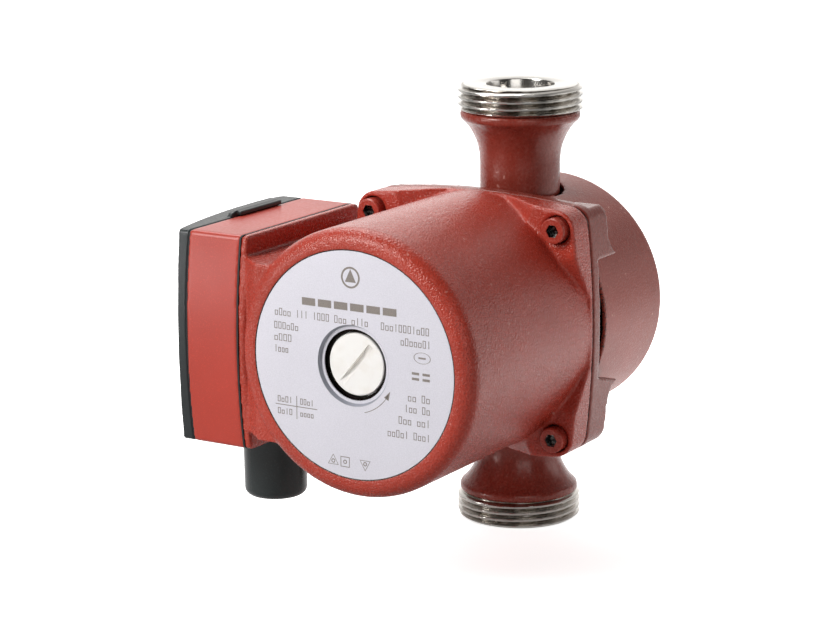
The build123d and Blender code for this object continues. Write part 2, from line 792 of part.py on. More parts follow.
with BuildPart() as terminal_box:
    with BuildSketch(Plane.YZ.offset(BOX_BACK_X)):
        add(box_outline.sketch_local)
    extrude(amount=BOX_OPEN_X - BOX_BACK_X)
    # the threaded spigot under the box
    with BuildSketch(Plane(origin=(GLAND_X, GLAND_Y, 0), x_dir=(1, 0, 0), z_dir=(0, -1, 0))):
        with BuildLine():
            Polyline(
                (0, BOX_BOTTOM + 1),
                (SPIGOT_THREAD_R - 0.6, BOX_BOTTOM + 1),
                *spigot_crests,
                (0, spigot_crests[-1][1]),
                close=True,
            )
        make_face()
    revolve(axis=Axis((GLAND_X, GLAND_Y, 0), (0, 0, 1)))
    with BuildSketch(Plane.YZ.offset(BOX_BASE_X)):
        offset(box_outline.sketch_local, amount=-BOX_WALL)
    extrude(amount=BOX_OPEN_X - BOX_BASE_X, mode=Mode.SUBTRACT)
    with BuildSketch(Plane.XY.offset(SPIGOT_BOTTOM - 5)):
        with Locations((GLAND_X, GLAND_Y)):
            Circle(SPIGOT_BORE_R)
    extrude(amount=BOX_BOTTOM + BOX_WALL - SPIGOT_BOTTOM + 5.5, mode=Mode.SUBTRACT)
    # post for the cover screw
    with BuildSketch(Plane.YZ.offset(BOX_BASE_X)):
        with Locations((POST_Y, POST_Z)):
            Circle(4)
    extrude(amount=-POST_L)
    with BuildSketch(Plane.YZ.offset(BOX_BASE_X - POST_L)):
        with Locations((POST_Y, POST_Z)):
            Circle(SMALL_SCREW_R + 0.1)
    extrude(amount=POST_L - 3, mode=Mode.SUBTRACT)
    # holes in the base for the leads and for the box and earth screws
    with BuildSketch(Plane.YZ.offset(BOX_BACK_X)):
        with Locations((LEAD_Y, LEAD_Z)):
            Circle(4.5)
        with Locations(*BOX_SCREWS, EARTH_SCREW):
            Circle(SMALL_SCREW_R + 0.4)
    extrude(amount=-6, mode=Mode.SUBTRACT)

terminal_box.part.label = "terminal_box"
export_step(terminal_box.part, "parts/terminal_box.step")


# --- terminal cover: domed shell, latch tab, inner skirt and captive screw ----------------

COVER_T = 2.2
TAB_FRONT_X = -70.2
TAB_FRONT_Y = -72.8
TAB_BACK_Y = -45.0
TAB_H = 1.9
TAB_REACH = 1.7
BOSS_X = BOX_BASE_X - POST_L


def cover_profile(inset):
    """Plan outline of the cover's domed outer face, moved inwards by inset."""
    front = (-71.2 + inset, BOX_FRONT_Y - 5)
    heel = (-78.0 + inset, BOX_BACK_Y - 6.5)
    back = (-72.0 + inset, BOX_BACK_Y + 2.5)
    ThreePointArc(front, (-76.6 + inset, -72.0), heel)
    ThreePointArc(heel, (-76.6 + inset, BOX_BACK_Y - 1.0), back)
    Polyline(
        back,
        (COVER_SEAM_X, BOX_BACK_Y + 2.5),
        (COVER_SEAM_X, BOX_FRONT_Y - 5),
        front,
    )


with BuildPart(mode=Mode.PRIVATE) as cover_hollow:
    with BuildSketch(Plane.XY.offset(BOX_BOTTOM)):
        with BuildLine():
            cover_profile(COVER_T)
        make_face()
    extrude(amount=BOX_TOP - BOX_BOTTOM)
    with BuildSketch(Plane.YZ.offset(BOX_OPEN_X)):
        offset(box_outline.sketch_local, amount=-COVER_T)
    extrude(amount=-15, mode=Mode.INTERSECT)

with BuildPart() as terminal_cover:
    with BuildSketch(Plane.XY.offset(BOX_BOTTOM)):
        with BuildLine():
            cover_profile(0)
        make_face()
    extrude(amount=BOX_TOP - BOX_BOTTOM)
    with BuildSketch(Plane.YZ.offset(BOX_OPEN_X)):
        add(box_outline.sketch_local)
    extrude(amount=-15, mode=Mode.INTERSECT)
    dome = terminal_cover.faces().sort_by(Axis.X)[0]
    fillet(dome.edges(), 1.5)
    add(cover_hollow.part, mode=Mode.SUBTRACT)
    # skirt that locates the cover inside the box
    with BuildSketch(Plane.YZ.offset(COVER_SEAM_X)):
        offset(box_outline.sketch_local, amount=-COVER_T)
        offset(box_outline.sketch_local, amount=-(COVER_T + 1.2), mode=Mode.SUBTRACT)
    extrude(amount=-1.5)
    with BuildSketch(Plane.YZ.offset(COVER_SEAM_X)):
        offset(box_outline.sketch_local, amount=-(BOX_WALL + 0.1))
        offset(box_outline.sketch_local, amount=-(COVER_T + 1.2), mode=Mode.SUBTRACT)
    extrude(amount=2.5)
    # latch tab: a narrow strip over the seam on the top edge, sloped at its front end
    with BuildSketch(Plane.YZ.offset(TAB_FRONT_X)):
        with BuildLine():
            Polyline(
                (TAB_FRONT_Y, BOX_TOP - 1),
                (TAB_FRONT_Y + 1.5, BOX_TOP + 1.2),
                (TAB_FRONT_Y + 4.0, BOX_TOP + TAB_H),
                (TAB_BACK_Y - 0.5, BOX_TOP + TAB_H),
                (TAB_BACK_Y, BOX_TOP + 1.4),
                (TAB_BACK_Y, BOX_TOP - 1),
                close=True,
            )
        make_face()
    extrude(amount=COVER_SEAM_X - TAB_FRONT_X)
    with BuildSketch(Plane.XY.offset(BOX_TOP + 0.1)):
        with Locations((COVER_SEAM_X + TAB_REACH / 2, (TAB_FRONT_Y + TAB_BACK_Y + 4) / 2)):
            Rectangle(TAB_REACH, TAB_BACK_Y - TAB_FRONT_Y - 4)
    extrude(amount=TAB_H - 0.3)
    # screw boss with a counterbored hole
    with BuildSketch(Plane.YZ.offset(BOSS_X - 1)):
        with Locations((POST_Y, POST_Z)):
            Circle(4.6)
    extrude(amount=-9)
    with BuildSketch(Plane.YZ.offset(BOSS_X - 6)):
        with Locations((POST_Y, POST_Z)):
            Circle(3.4)
    extrude(amount=-10, mode=Mode.SUBTRACT)
    with BuildSketch(Plane.YZ.offset(BOSS_X + 5)):
        with Locations((POST_Y, POST_Z)):
            Circle(SMALL_SCREW_R + 0.2)
    extrude(amount=-15, mode=Mode.SUBTRACT)

terminal_cover.part.label = "terminal_cover"
export_step(terminal_cover.part, "parts/terminal_cover.step")

with BuildPart() as cover_gasket:
    with BuildSketch(Plane.YZ.offset(BOX_OPEN_X)):
        offset(box_outline.sketch_local, amount=-0.25)
        offset(box_outline.sketch_local, amount=-(BOX_WALL - 0.1), mode=Mode.SUBTRACT)
    extrude(amount=-0.5)

cover_gasket.part.label = "cover_gasket"
export_step(cover_gasket.part, "parts/cover_gasket.step")


# --- small parts inside the terminal box ---------------------------------------------------

PAN_HEAD_H = 2.2


def pan_screw(head_x, shank_end_x, places, head_r, shank_r):
    """Slotless solids of a pan-head screw along X, at (y, z) places."""
    with BuildSketch(Plane.YZ.offset(head_x)) as head:
        with Locations(*places):
            Circle(head_r)
    extrude(head.sketch, amount=PAN_HEAD_H)
    with BuildSketch(Plane.YZ.offset(head_x + PAN_HEAD_H)) as shank:
        with Locations(*places):
            Circle(shank_r)
    extrude(shank.sketch, amount=shank_end_x - head_x - PAN_HEAD_H)


CROSS_L = 4.2
CROSS_W = 0.9
RECESS = 1.4
EARTH_WASHER_T = 0.8
COVER_SCREW_HEAD_X = BOSS_X - 6 - PAN_HEAD_H

with BuildPart() as cover_screw:
    pan_screw(COVER_SCREW_HEAD_X, BOSS_X + 9, [(POST_Y, POST_Z)], 3.2, SMALL_SCREW_R)
    with BuildSketch(Plane.YZ.offset(COVER_SCREW_HEAD_X)):
        with Locations((POST_Y, POST_Z)):
            Rectangle(CROSS_L, CROSS_W)
            Rectangle(CROSS_W, CROSS_L)
    extrude(amount=RECESS, mode=Mode.SUBTRACT)

cover_screw.part.label = "cover_screw"
export_step(cover_screw.part, "parts/cover_screw.step")

with BuildPart() as box_screws:
    pan_screw(BOX_BASE_X - PAN_HEAD_H, SMALL_SCREW_END_X, BOX_SCREWS, SMALL_HEAD_R, SMALL_SCREW_R)
    with BuildSketch(Plane.YZ.offset(BOX_BASE_X - PAN_HEAD_H)):
        with Locations(*BOX_SCREWS):
            Rectangle(CROSS_L, CROSS_W)
            Rectangle(CROSS_W, CROSS_L)
    extrude(amount=RECESS, mode=Mode.SUBTRACT)

box_screws.part.label = "box_screws"
export_step(box_screws.part, "parts/box_screws.step")

with BuildPart() as earth_screw:
    earth_head_x = BOX_BASE_X - PAN_HEAD_H - EARTH_WASHER_T
    pan_screw(earth_head_x, SMALL_SCREW_END_X, [EARTH_SCREW], SMALL_HEAD_R, SMALL_SCREW_R)
    with BuildSketch(Plane.YZ.offset(BOX_BASE_X)):
        with Locations(EARTH_SCREW):
            Circle(4.4)
    extrude(amount=-EARTH_WASHER_T)
    with BuildSketch(Plane.YZ.offset(earth_head_x)):
        with Locations(EARTH_SCREW):
            Rectangle(8, CROSS_W)
    extrude(amount=1.0, mode=Mode.SUBTRACT)

earth_screw.part.label = "earth_screw"
export_step(earth_screw.part, "parts/earth_screw.step")

BLOCK_Y = -72.0
BLOCK_Z = -13.0
BLOCK_L = 27.0
BLOCK_H = 12.0
BLOCK_D = 12.0
WAYS = 3
WAY_PITCH = 8.5

with BuildPart() as terminal_block:
    with BuildSketch(Plane.YZ.offset(BOX_BASE_X)):
        with Locations((BLOCK_Y, BLOCK_Z)):
            RectangleRounded(BLOCK_L, BLOCK_H, 0.6)
    extrude(amount=-BLOCK_D)
    with BuildSketch(Plane.XY.offset(BLOCK_Z - BLOCK_H / 2)):
        with Locations((BOX_BASE_X - 5, BLOCK_Y)):
            with GridLocations(1, WAY_PITCH, 1, WAYS):
                Circle(2.2)
    extrude(amount=5, mode=Mode.SUBTRACT)
    with BuildSketch(Plane.YZ.offset(BOX_BASE_X - BLOCK_D)):
        with Locations((BLOCK_Y, BLOCK_Z)):
            with GridLocations(WAY_PITCH, 1, WAYS, 1):
                Circle(2.4)
    extrude(amount=4, mode=Mode.SUBTRACT)

terminal_block.part.label = "terminal_block"
export_step(terminal_block.part, "parts/terminal_block.step")

with BuildPart() as terminal_screws:
    with BuildSketch(Plane.YZ.offset(BOX_BASE_X - BLOCK_D + 4)):
        with Locations((BLOCK_Y, BLOCK_Z)):
            with GridLocations(WAY_PITCH, 1, WAYS, 1):
                Circle(2.2)
    extrude(amount=-2.4)
    with BuildSketch(Plane.YZ.offset(BOX_BASE_X - BLOCK_D + 1.6)):
        with Locations((BLOCK_Y, BLOCK_Z)):
            with GridLocations(WAY_PITCH, 1, WAYS, 1):
                Rectangle(5, 0.7)
    extrude(amount=1.0, mode=Mode.SUBTRACT)

terminal_screws.part.label = "terminal_screws"
export_step(terminal_screws.part, "parts/terminal_screws.step")

CAPACITOR_R = 9.0
CAPACITOR_X = BOX_BASE_X - CAPACITOR_R - 1.0
CAPACITOR_Z = 20.5
CAPACITOR_FRONT = -80.0
CAPACITOR_BACK = -42.0
CLIP_Y = -58.0

with BuildPart() as capacitor:
    with BuildSketch(Plane.XZ.offset(-CAPACITOR_BACK)):
        with Locations((CAPACITOR_X, CAPACITOR_Z)):
            Circle(CAPACITOR_R)
    extrude(amount=CAPACITOR_BACK - CAPACITOR_FRONT)
    fillet(capacitor.faces().filter_by(Axis.Y).edges(), 1.2)

capacitor.part.label = "capacitor"
export_step(capacitor.part, "parts/capacitor.step")

with BuildPart() as capacitor_clip:
    with BuildSketch(Plane.XZ.offset(-CLIP_Y)):
        with Locations((CAPACITOR_X, CAPACITOR_Z)):
            Circle(CAPACITOR_R + 0.9)
            Circle(CAPACITOR_R, mode=Mode.SUBTRACT)
        with Locations((CAPACITOR_X - CAPACITOR_R, CAPACITOR_Z)):
            Rectangle(8, 9, mode=Mode.SUBTRACT)
        with Locations((BOX_BASE_X - 0.4, CAPACITOR_Z)):
            Rectangle(0.8, 8)
    extrude(amount=7)

capacitor_clip.part.label = "capacitor_clip"
export_step(capacitor_clip.part, "parts/capacitor_clip.step")

GROMMET_BORE_R = 3.2

with BuildPart() as lead_grommet:
    with BuildSketch(Plane.YZ.offset(BOX_JOINT_X + 1)):
        with Locations((LEAD_Y, LEAD_Z)):
            Circle(4.5)
            Circle(GROMMET_BORE_R, mode=Mode.SUBTRACT)
    extrude(amount=BOX_BASE_X - BOX_JOINT_X - 1)
    with BuildSketch(Plane.YZ.offset(BOX_BASE_X)):
        with Locations((LEAD_Y, LEAD_Z)):
            Circle(5.4)
            Circle(GROMMET_BORE_R, mode=Mode.SUBTRACT)
    extrude(amount=-1.2)

lead_grommet.part.label = "lead_grommet"
export_step(lead_grommet.part, "parts/lead_grommet.step")

LEAD_R = 0.9
BLOCK_TOP = BLOCK_Z + BLOCK_H / 2

with BuildPart() as motor_leads:
    for lead in range(3):
        turn = 2 * pi * (lead + 0.25) / 3
        y_in = LEAD_Y + 1.8 * cos(turn)
        z_in = LEAD_Z + 1.8 * sin(turn)
        y_end = BLOCK_Y + (lead - 1) * WAY_PITCH
        with BuildLine() as lead_path:
            straight = Line((-36.2, y_in, z_in), (BOX_BASE_X - 1.5, y_in, z_in))
            Spline(
                straight @ 1,
                (BOX_BASE_X - 4.5 - lead, (y_in + y_end) / 2, 4.0 + lead),
                (BOX_BASE_X - 4 - 2 * lead, y_end, BLOCK_TOP),
                tangents=((-1, 0, 0), (0, 0, -1)),
            )
        with BuildSketch(Plane(origin=(-36.2, y_in, z_in), z_dir=(-1, 0, 0))):
            Circle(LEAD_R)
        sweep(path=lead_path.line)

motor_leads.part.label = "motor_leads"
export_step(motor_leads.part, "parts/motor_leads.step")


# --- cable gland: nut, washer and seal -------------------------------------------------------

GLAND_TOP = BOX_BOTTOM - 0.6
WASHER_TOP = -53.4
WASHER_T = 0.8


def gland_band(r_in, r_out, z_low, z_high):
    """Ring about the gland's axis, as an extruded annulus."""
    with BuildSketch(Plane.XY.offset(z_low)) as ring:
        with Locations((GLAND_X, GLAND_Y)):
            Circle(r_out)
            Circle(r_in, mode=Mode.SUBTRACT)
    extrude(ring.sketch, amount=z_high - z_low)


with BuildPart() as gland_seal:
    gland_band(CABLE_R, SPIGOT_BORE_R - 0.05, WASHER_TOP, SPIGOT_BOTTOM + 7)

gland_seal.part.label = "gland_seal"
export_step(gland_seal.part, "parts/gland_seal.step")

with BuildPart() as gland_washer:
    gland_band(CABLE_R, SPIGOT_THREAD_R, WASHER_TOP - WASHER_T, WASHER_TOP)

gland_washer.part.label = "gland_washer"
export_step(gland_washer.part, "parts/gland_washer.step")

with BuildPart() as gland_nut:
    with BuildSketch(Plane.XY.offset(GLAND_TOP)):
        with Locations((GLAND_X, GLAND_Y)):
            Circle(GLAND_R)
    extrude(amount=GLAND_BOTTOM - GLAND_TOP, taper=1.2)
    fillet(gland_nut.faces().sort_by(Axis.Z)[0].edges(), 2.6)
    fillet(gland_nut.faces().sort_by(Axis.Z)[-1].edges(), 0.4)
    with BuildSketch(Plane.XY.offset(GLAND_TOP)):
        with Locations((GLAND_X, GLAND_Y)):
            Circle(SPIGOT_THREAD_R + 0.1)
    extrude(amount=WASHER_TOP - WASHER_T - GLAND_TOP, mode=Mode.SUBTRACT)
    with BuildSketch(Plane.XY.offset(GLAND_TOP)):
        with Locations((GLAND_X, GLAND_Y)):
            Circle(CABLE_R)
    extrude(amount=GLAND_BOTTOM - GLAND_TOP, mode=Mode.SUBTRACT)

gland_nut.part.label = "gland_nut"
export_step(gland_nut.part, "parts/gland_nut.step")
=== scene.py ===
"""Visual model of the circulator pump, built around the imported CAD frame.

Lengths in the helper functions are in metres, and MM turns millimetres into metres.
"""

import json
import math

import bmesh
import bpy
import numpy as np
from mathutils import Matrix, Vector


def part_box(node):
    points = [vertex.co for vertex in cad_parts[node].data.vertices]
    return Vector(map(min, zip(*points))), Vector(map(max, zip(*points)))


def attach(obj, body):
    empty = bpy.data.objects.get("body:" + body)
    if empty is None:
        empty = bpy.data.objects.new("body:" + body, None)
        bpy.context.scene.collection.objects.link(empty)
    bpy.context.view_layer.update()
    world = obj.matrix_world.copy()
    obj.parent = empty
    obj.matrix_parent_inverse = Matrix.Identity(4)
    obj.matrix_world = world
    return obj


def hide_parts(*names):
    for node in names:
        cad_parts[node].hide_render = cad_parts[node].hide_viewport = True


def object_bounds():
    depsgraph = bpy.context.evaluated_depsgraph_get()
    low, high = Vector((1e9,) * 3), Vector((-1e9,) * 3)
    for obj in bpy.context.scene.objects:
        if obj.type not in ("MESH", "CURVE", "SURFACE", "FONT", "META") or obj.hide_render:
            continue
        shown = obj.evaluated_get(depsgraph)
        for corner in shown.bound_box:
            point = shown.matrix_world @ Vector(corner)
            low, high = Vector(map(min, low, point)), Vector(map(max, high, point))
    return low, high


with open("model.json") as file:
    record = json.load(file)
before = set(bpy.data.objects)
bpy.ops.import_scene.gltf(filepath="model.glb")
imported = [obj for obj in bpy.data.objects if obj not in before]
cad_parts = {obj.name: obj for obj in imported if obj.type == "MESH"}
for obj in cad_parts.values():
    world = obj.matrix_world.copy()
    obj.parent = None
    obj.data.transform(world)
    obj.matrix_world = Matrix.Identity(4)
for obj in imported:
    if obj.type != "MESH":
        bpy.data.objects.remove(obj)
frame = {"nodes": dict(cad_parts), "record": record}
cad_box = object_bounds()

MM = 0.001
NODES = frame["nodes"]
BODY = "pump_body"

# --------------------------------------------------------------------------------------
# Node-tree helper
# --------------------------------------------------------------------------------------


class Surface:
    """A material with one Principled shader, and short calls for its texture nodes."""

    def __init__(self, name):
        self.material = bpy.data.materials.new(name)
        self.material.use_nodes = True
        self.tree = self.material.node_tree
        self.shader = self.tree.nodes["Principled BSDF"]
        self.coords = self.tree.nodes.new("ShaderNodeTexCoord").outputs["Object"]

    def node(self, kind, **settings):
        made = self.tree.nodes.new(kind)
        for key, value in settings.items():
            setattr(made, key, value)
        return made

    def link(self, source, target):
        self.tree.links.new(source, target)

    def feed(self, target, value):
        """Links a socket, or sets a plain value."""
        if isinstance(value, bpy.types.NodeSocket):
            self.link(value, target)
        else:
            target.default_value = value

    def set(self, **inputs):
        for key, value in inputs.items():
            self.feed(self.shader.inputs[key.replace("_", " ")], value)

    def noise(self, scale, detail=3.0, roughness=0.5):
        """Soft noise, with about scale blotches in a metre."""
        made = self.node("ShaderNodeTexNoise")
        self.link(self.coords, made.inputs["Vector"])
        made.inputs["Scale"].default_value = scale
        made.inputs["Detail"].default_value = detail
        made.inputs["Roughness"].default_value = roughness
        return made.outputs["Fac"]

    def lines(self, along, detail):
        """One-dimensional noise, drawn as lines across along."""
        made = self.node("ShaderNodeTexNoise", noise_dimensions="1D")
        self.link(along, made.inputs["W"])
        made.inputs["Scale"].default_value = 1.0
        made.inputs["Detail"].default_value = detail
        return made.outputs["Fac"]

    def axis(self, name):
        """One object coordinate, in metres."""
        made = self.node("ShaderNodeSeparateXYZ")
        self.link(self.coords, made.inputs["Vector"])
        return made.outputs[name]

    def maths(self, operation, a, b=0.0):
        made = self.node("ShaderNodeMath", operation=operation)
        self.feed(made.inputs[0], a)
        self.feed(made.inputs[1], b)
        return made.outputs[0]

    def spread(self, value, low, high, out_low=0.0, out_high=1.0):
        """Maps low..high to out_low..out_high, clamped."""
        made = self.node("ShaderNodeMapRange")
        self.feed(made.inputs["Value"], value)
        made.inputs["From Min"].default_value = low
        made.inputs["From Max"].default_value = high
        made.inputs["To Min"].default_value = out_low
        made.inputs["To Max"].default_value = out_high
        return made.outputs["Result"]

    def mix(self, factor, a, b):
        """Blends two colours, all a at factor 0 and all b at 1."""
        made = self.node("ShaderNodeMix", data_type="RGBA")
        self.feed(made.inputs["Factor"], factor)
        self.feed(made.inputs["A"], rgba(a) if isinstance(a, tuple) else a)
        self.feed(made.inputs["B"], rgba(b) if isinstance(b, tuple) else b)
        return made.outputs["Result"]

    def bump(self, height, distance, strength=1.0):
        made = self.node("ShaderNodeBump")
        self.link(height, made.inputs["Height"])
        made.inputs["Distance"].default_value = distance
        made.inputs["Strength"].default_value = strength
        return made.outputs["Normal"]

    def tint(self, colour):
        self.feed(self.shader.inputs["Base Color"], colour)

    def painted_over(self, factor, colour):
        """Covers the colour given so far with another, where factor is 1."""
        plain = self.shader.inputs["Base Color"].links[0].from_socket
        self.tint(self.mix(factor, plain, colour))

    def uneven(self, scale, detail, roughness):
        """Roughness that varies a little round a middle value."""
        return self.spread(self.noise(scale, detail), 0.3, 0.7, roughness - 0.05, roughness + 0.06)

    def hollows(self, low, high):
        """1 in grooves and inside corners, 0 on flat faces."""
        geometry = self.node("ShaderNodeNewGeometry")
        return self.spread(geometry.outputs["Pointiness"], low, high, 1.0, 0.0)

    def near(self, value, centre, core, edge):
        """1 where value is within core of centre, fading to 0 at edge."""
        off = self.maths("ABSOLUTE", self.maths("SUBTRACT", value, centre))
        return self.spread(off, core, edge, 1.0, 0.0)

    def radius(self, axes, centre=(0.0, 0.0), folded=False):
        """Distance from a point in the plane of two axes; folded mirrors it to all four corners."""
        squares = []
        for name, place in zip(axes, centre):
            along = self.axis(name)
            if folded:
                along = self.maths("ABSOLUTE", along)
            off = self.maths("SUBTRACT", along, place)
            squares.append(self.maths("MULTIPLY", off, off))
        return self.maths("SQRT", self.maths("ADD", *squares))


def rgba(colour):
    return (colour[0], colour[1], colour[2], 1.0)


def shade(colour, factor):
    return tuple(channel * factor for channel in colour)


# --------------------------------------------------------------------------------------
# Materials
# --------------------------------------------------------------------------------------


# near black: painted shade in gaps and round the vent plug, also used for dark joints and dirty
# paint
SHADE_AND_GRIME_COLOUR = (0.012, 0.009, 0.008)
PALE_RED = (0.80, 0.42, 0.36)
WARM_GLINT = (1.0, 0.80, 0.74, 1.0)


def enamel(name, colour, grain, grain_depth, roughness, dark=0.1, pale=0.1, gaps=()):
    """Sprayed enamel: orange peel, slow colour drift, painted shade in hollows, and dark marks on
    top: painted shade in gaps, dark joints and dirty paint.

    grain is the peel's noise scale. dark is how far painted shade darkens the peel's dips, and pale
    how far a painted highlight lightens its peaks.
    """
    made = Surface(name)
    drift = made.noise(35, 4, 0.6)
    tint = made.mix(made.spread(drift, 0.3, 0.7), shade(colour, 0.88), shade(colour, 1.1))
    peel = made.noise(grain, 1.0, 0.5)
    # painted shade in the peel's dips, then a painted highlight on its peaks
    tint = made.mix(made.spread(peel, 0.36, 0.5, dark, 0.0), tint, shade(colour, 0.45))
    tint = made.mix(made.spread(peel, 0.53, 0.68, 0.0, pale), tint, PALE_RED)
    dust = made.spread(made.noise(420, 1.0), 0.74, 0.78, 0.0, 0.35)
    tint = made.mix(dust, tint, PALE_RED)
    # painted shade in hollows and inside corners
    shadow = made.maths("MULTIPLY", made.hollows(0.40, 0.47), 0.6)
    tint = made.mix(shadow, tint, shade(colour, 0.2))
    # dark marks: painted shade in gaps and round the vent plug, dark joints and dirty paint
    for gap in gaps:
        tint = made.mix(gap(made), tint, SHADE_AND_GRIME_COLOUR)
    made.tint(tint)
    made.set(Roughness=made.uneven(grain * 0.7, 2, roughness), Normal=made.bump(peel, grain_depth))
    made.set(IOR=1.5, Coat_Weight=0.08, Coat_Roughness=0.18, Specular_Tint=WARM_GLINT)
    return made


# places on the object that the painted shade, dark joints and stains below are tied to
JOINT_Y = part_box("motor_casing")[1].y
SCREW_HEAD_R = 4.2 * MM
SCREW_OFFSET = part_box("flange_screws")[1].x - SCREW_HEAD_R
LABEL_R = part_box("nameplate")[1].x
LABEL_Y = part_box("nameplate")[0].y
DISH_WALL_R = 12.65 * MM
PLUG_SHADE_R = 13.6 * MM
DRUM_LIP_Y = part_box("housing_drum")[0].y
DRUM_LIP_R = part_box("housing_drum")[1].x
THREAD_DEPTH = 1.479 * MM
THREAD_ROOT_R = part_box("outlet_union")[1].x - THREAD_DEPTH
LEAD_SPLIT_Y = -81.1 * MM


def screw_head_shade(made):
    """Shadowed ring round each flange screw's head."""
    off_axis = made.radius(("X", "Z"), (SCREW_OFFSET, SCREW_OFFSET), folded=True)
    return made.near(off_axis, 0.0, SCREW_HEAD_R + 0.1 * MM, SCREW_HEAD_R + 0.6 * MM)


def joint_gap(made):
    """Dark line along the flange joint, fainter where the paint bridges it."""
    line = made.near(made.axis("Y"), JOINT_Y, 0.2 * MM, 0.5 * MM)
    bare = made.spread(made.noise(160, 3, 0.7), 0.42, 0.54, 0.15, 1.0)
    return made.maths("MULTIPLY", line, bare)


def label_edge_shade(made):
    """Painted shade in the gap round the nameplate's edge."""
    ring = made.near(made.radius(("X", "Z")), LABEL_R + 0.15 * MM, 0.14 * MM, 0.32 * MM)
    return made.maths("MULTIPLY", ring, made.near(made.axis("Y"), LABEL_Y, 1.0 * MM, 1.6 * MM))


def plug_shade(made):
    """The unlit space round the vent plug."""
    # painted shade: black inside this radius round the vent plug
    return made.near(made.radius(("X", "Z")), 0.0, PLUG_SHADE_R, PLUG_SHADE_R + 0.3 * MM)


def drum_gap_shade(made):
    """The unlit space between the housing's plate and the drum's open edge."""
    # painted shade: black on the housing where it sits in the dark behind the drum's edge
    body = made.near(made.radius(("X", "Z")), 0.0, DRUM_LIP_R - 1.4 * MM, DRUM_LIP_R - 1.0 * MM)
    behind = made.spread(made.axis("Y"), DRUM_LIP_Y - 6.0 * MM, DRUM_LIP_Y - 4.5 * MM)
    return made.maths("MULTIPLY", body, behind)


def drum_lip(made):
    """Torn, dirty paint along the drum's open edge."""
    lip = made.near(made.axis("Y"), DRUM_LIP_Y, 0.5 * MM, 1.4 * MM)
    return made.maths("MULTIPLY", lip, made.spread(made.noise(1100, 3, 0.7), 0.5, 0.58))


def cast_enamel():
    return enamel(
        "cast_enamel",
        colour=(0.42, 0.042, 0.024),
        grain=1700,
        grain_depth=0.30 * MM,
        roughness=0.24,
        dark=0.09,
        pale=0.06,
        gaps=(screw_head_shade, joint_gap, label_edge_shade, plug_shade),
    )


def housing_enamel():
    return enamel(
        "housing_enamel",
        colour=(0.235, 0.032, 0.020),
        grain=1200,
        grain_depth=0.05 * MM,
        roughness=0.28,
        dark=0.0,
        pale=0.06,
        gaps=(joint_gap, drum_gap_shade),
    )


def drum_enamel():
    return enamel(
        "drum_enamel",
        colour=(0.34, 0.052, 0.034),
        grain=1700,
        grain_depth=0.14 * MM,
        roughness=0.36,
        dark=0.12,
        pale=0.08,
        gaps=(drum_lip,),
    )


def screw_enamel():
    return enamel(
        "screw_enamel",
        colour=(0.38, 0.042, 0.026),
        grain=1500,
        grain_depth=0.06 * MM,
        roughness=0.26,
    )


def turned_steel(name, colour, roughness, groove_scale, axis_name="Z"):
    """Bare machined metal: tool rings along one axis and faint smudges."""
    made = Surface(name)
    along = made.axis(axis_name)
    wobble = made.maths("MULTIPLY", made.noise(40, 2), 0.0004)
    rings = made.maths("MULTIPLY", made.maths("ADD", along, wobble), groove_scale)
    smudge = made.noise(90, 4, 0.6)
    tint = made.mix(made.spread(smudge, 0.35, 0.7), shade(colour, 0.82), colour)
    made.tint(tint)
    rough = made.spread(smudge, 0.3, 0.7, roughness * 0.8, roughness * 1.35)
    normal = made.bump(made.lines(rings, 3.0), 0.012 * MM, 0.6)
    made.set(Metallic=1.0, Roughness=rough, Normal=normal)
    return made


def union_steel():
    """Turned stainless steel with dirty thread roots."""
    made = turned_steel("union_steel", (0.60, 0.575, 0.54), 0.17, 9000)
    roots = made.near(made.radius(("X", "Y")), THREAD_ROOT_R, 0.05 * MM, 0.5 * MM)
    patches = made.spread(made.noise(260, 3, 0.6), 0.35, 0.6, 0.3, 0.85)
    made.painted_over(made.maths("MULTIPLY", roots, patches), (0.10, 0.07, 0.035))
    return made


def pressed_steel():
    """Drawn can, with painted shade on its nose, which sits in the dark round the vent plug."""
    made = turned_steel("pressed_steel", (0.60, 0.60, 0.60), 0.28, 4000, "Y")
    # painted shade on the can's nose round the vent plug
    nose = made.spread(made.axis("Y"), LABEL_Y + 4.5 * MM, LABEL_Y + 6.5 * MM, 1.0, 0.0)
    made.painted_over(nose, SHADE_AND_GRIME_COLOUR)
    return made


def moulding(name, colour, grain, depth, roughness):
    """Moulded plastic or rubber: a fine grain from its tool and faint flow marks."""
    made = Surface(name)
    flow = made.noise(25, 3, 0.6)
    tint = made.mix(made.spread(flow, 0.3, 0.7), shade(colour, 0.9), shade(colour, 1.1))
    speck = made.noise(grain, 2, 0.6)
    tint = made.mix(made.spread(speck, 0.55, 0.8), tint, shade(colour, 1.35))
    made.tint(tint)
    made.set(Roughness=made.uneven(grain * 0.6, 3, roughness), Normal=made.bump(speck, depth))
    return made


def label_foil():
    """Matt printed foil, lilac grey, with a fine metallic grain."""
    made = Surface("label_foil")
    base = (0.72, 0.70, 0.76)
    grain = made.noise(2600, 2, 0.7)
    cloud = made.noise(60, 3, 0.5)
    tint = made.mix(made.spread(grain, 0.35, 0.7), shade(base, 0.93), shade(base, 1.05))
    tint = made.mix(made.spread(cloud, 0.3, 0.75, 0.0, 0.25), tint, shade(base, 1.08))
    # painted shade on the dish wall round the vent plug
    wall = made.near(made.radius(("X", "Z")), DISH_WALL_R, 0.25 * MM, 0.4 * MM)
    tint = made.mix(made.maths("MULTIPLY", wall, 0.75), tint, (0.17, 0.19, 0.23))
    made.tint(tint)
    made.set(Metallic=0.25, Roughness=made.spread(grain, 0.3, 0.7, 0.36, 0.48))
    made.set(Normal=made.bump(grain, 0.006 * MM))
    return made


def print_ink():
    made = Surface("print_ink")
    base = (0.215, 0.185, 0.165)
    grain = made.noise(4000, 2, 0.7)
    tint = made.mix(made.spread(grain, 0.4, 0.75), base, shade(base, 1.5))
    made.tint(tint)
    made.set(Roughness=made.spread(grain, 0.3, 0.7, 0.45, 0.6))
    return made


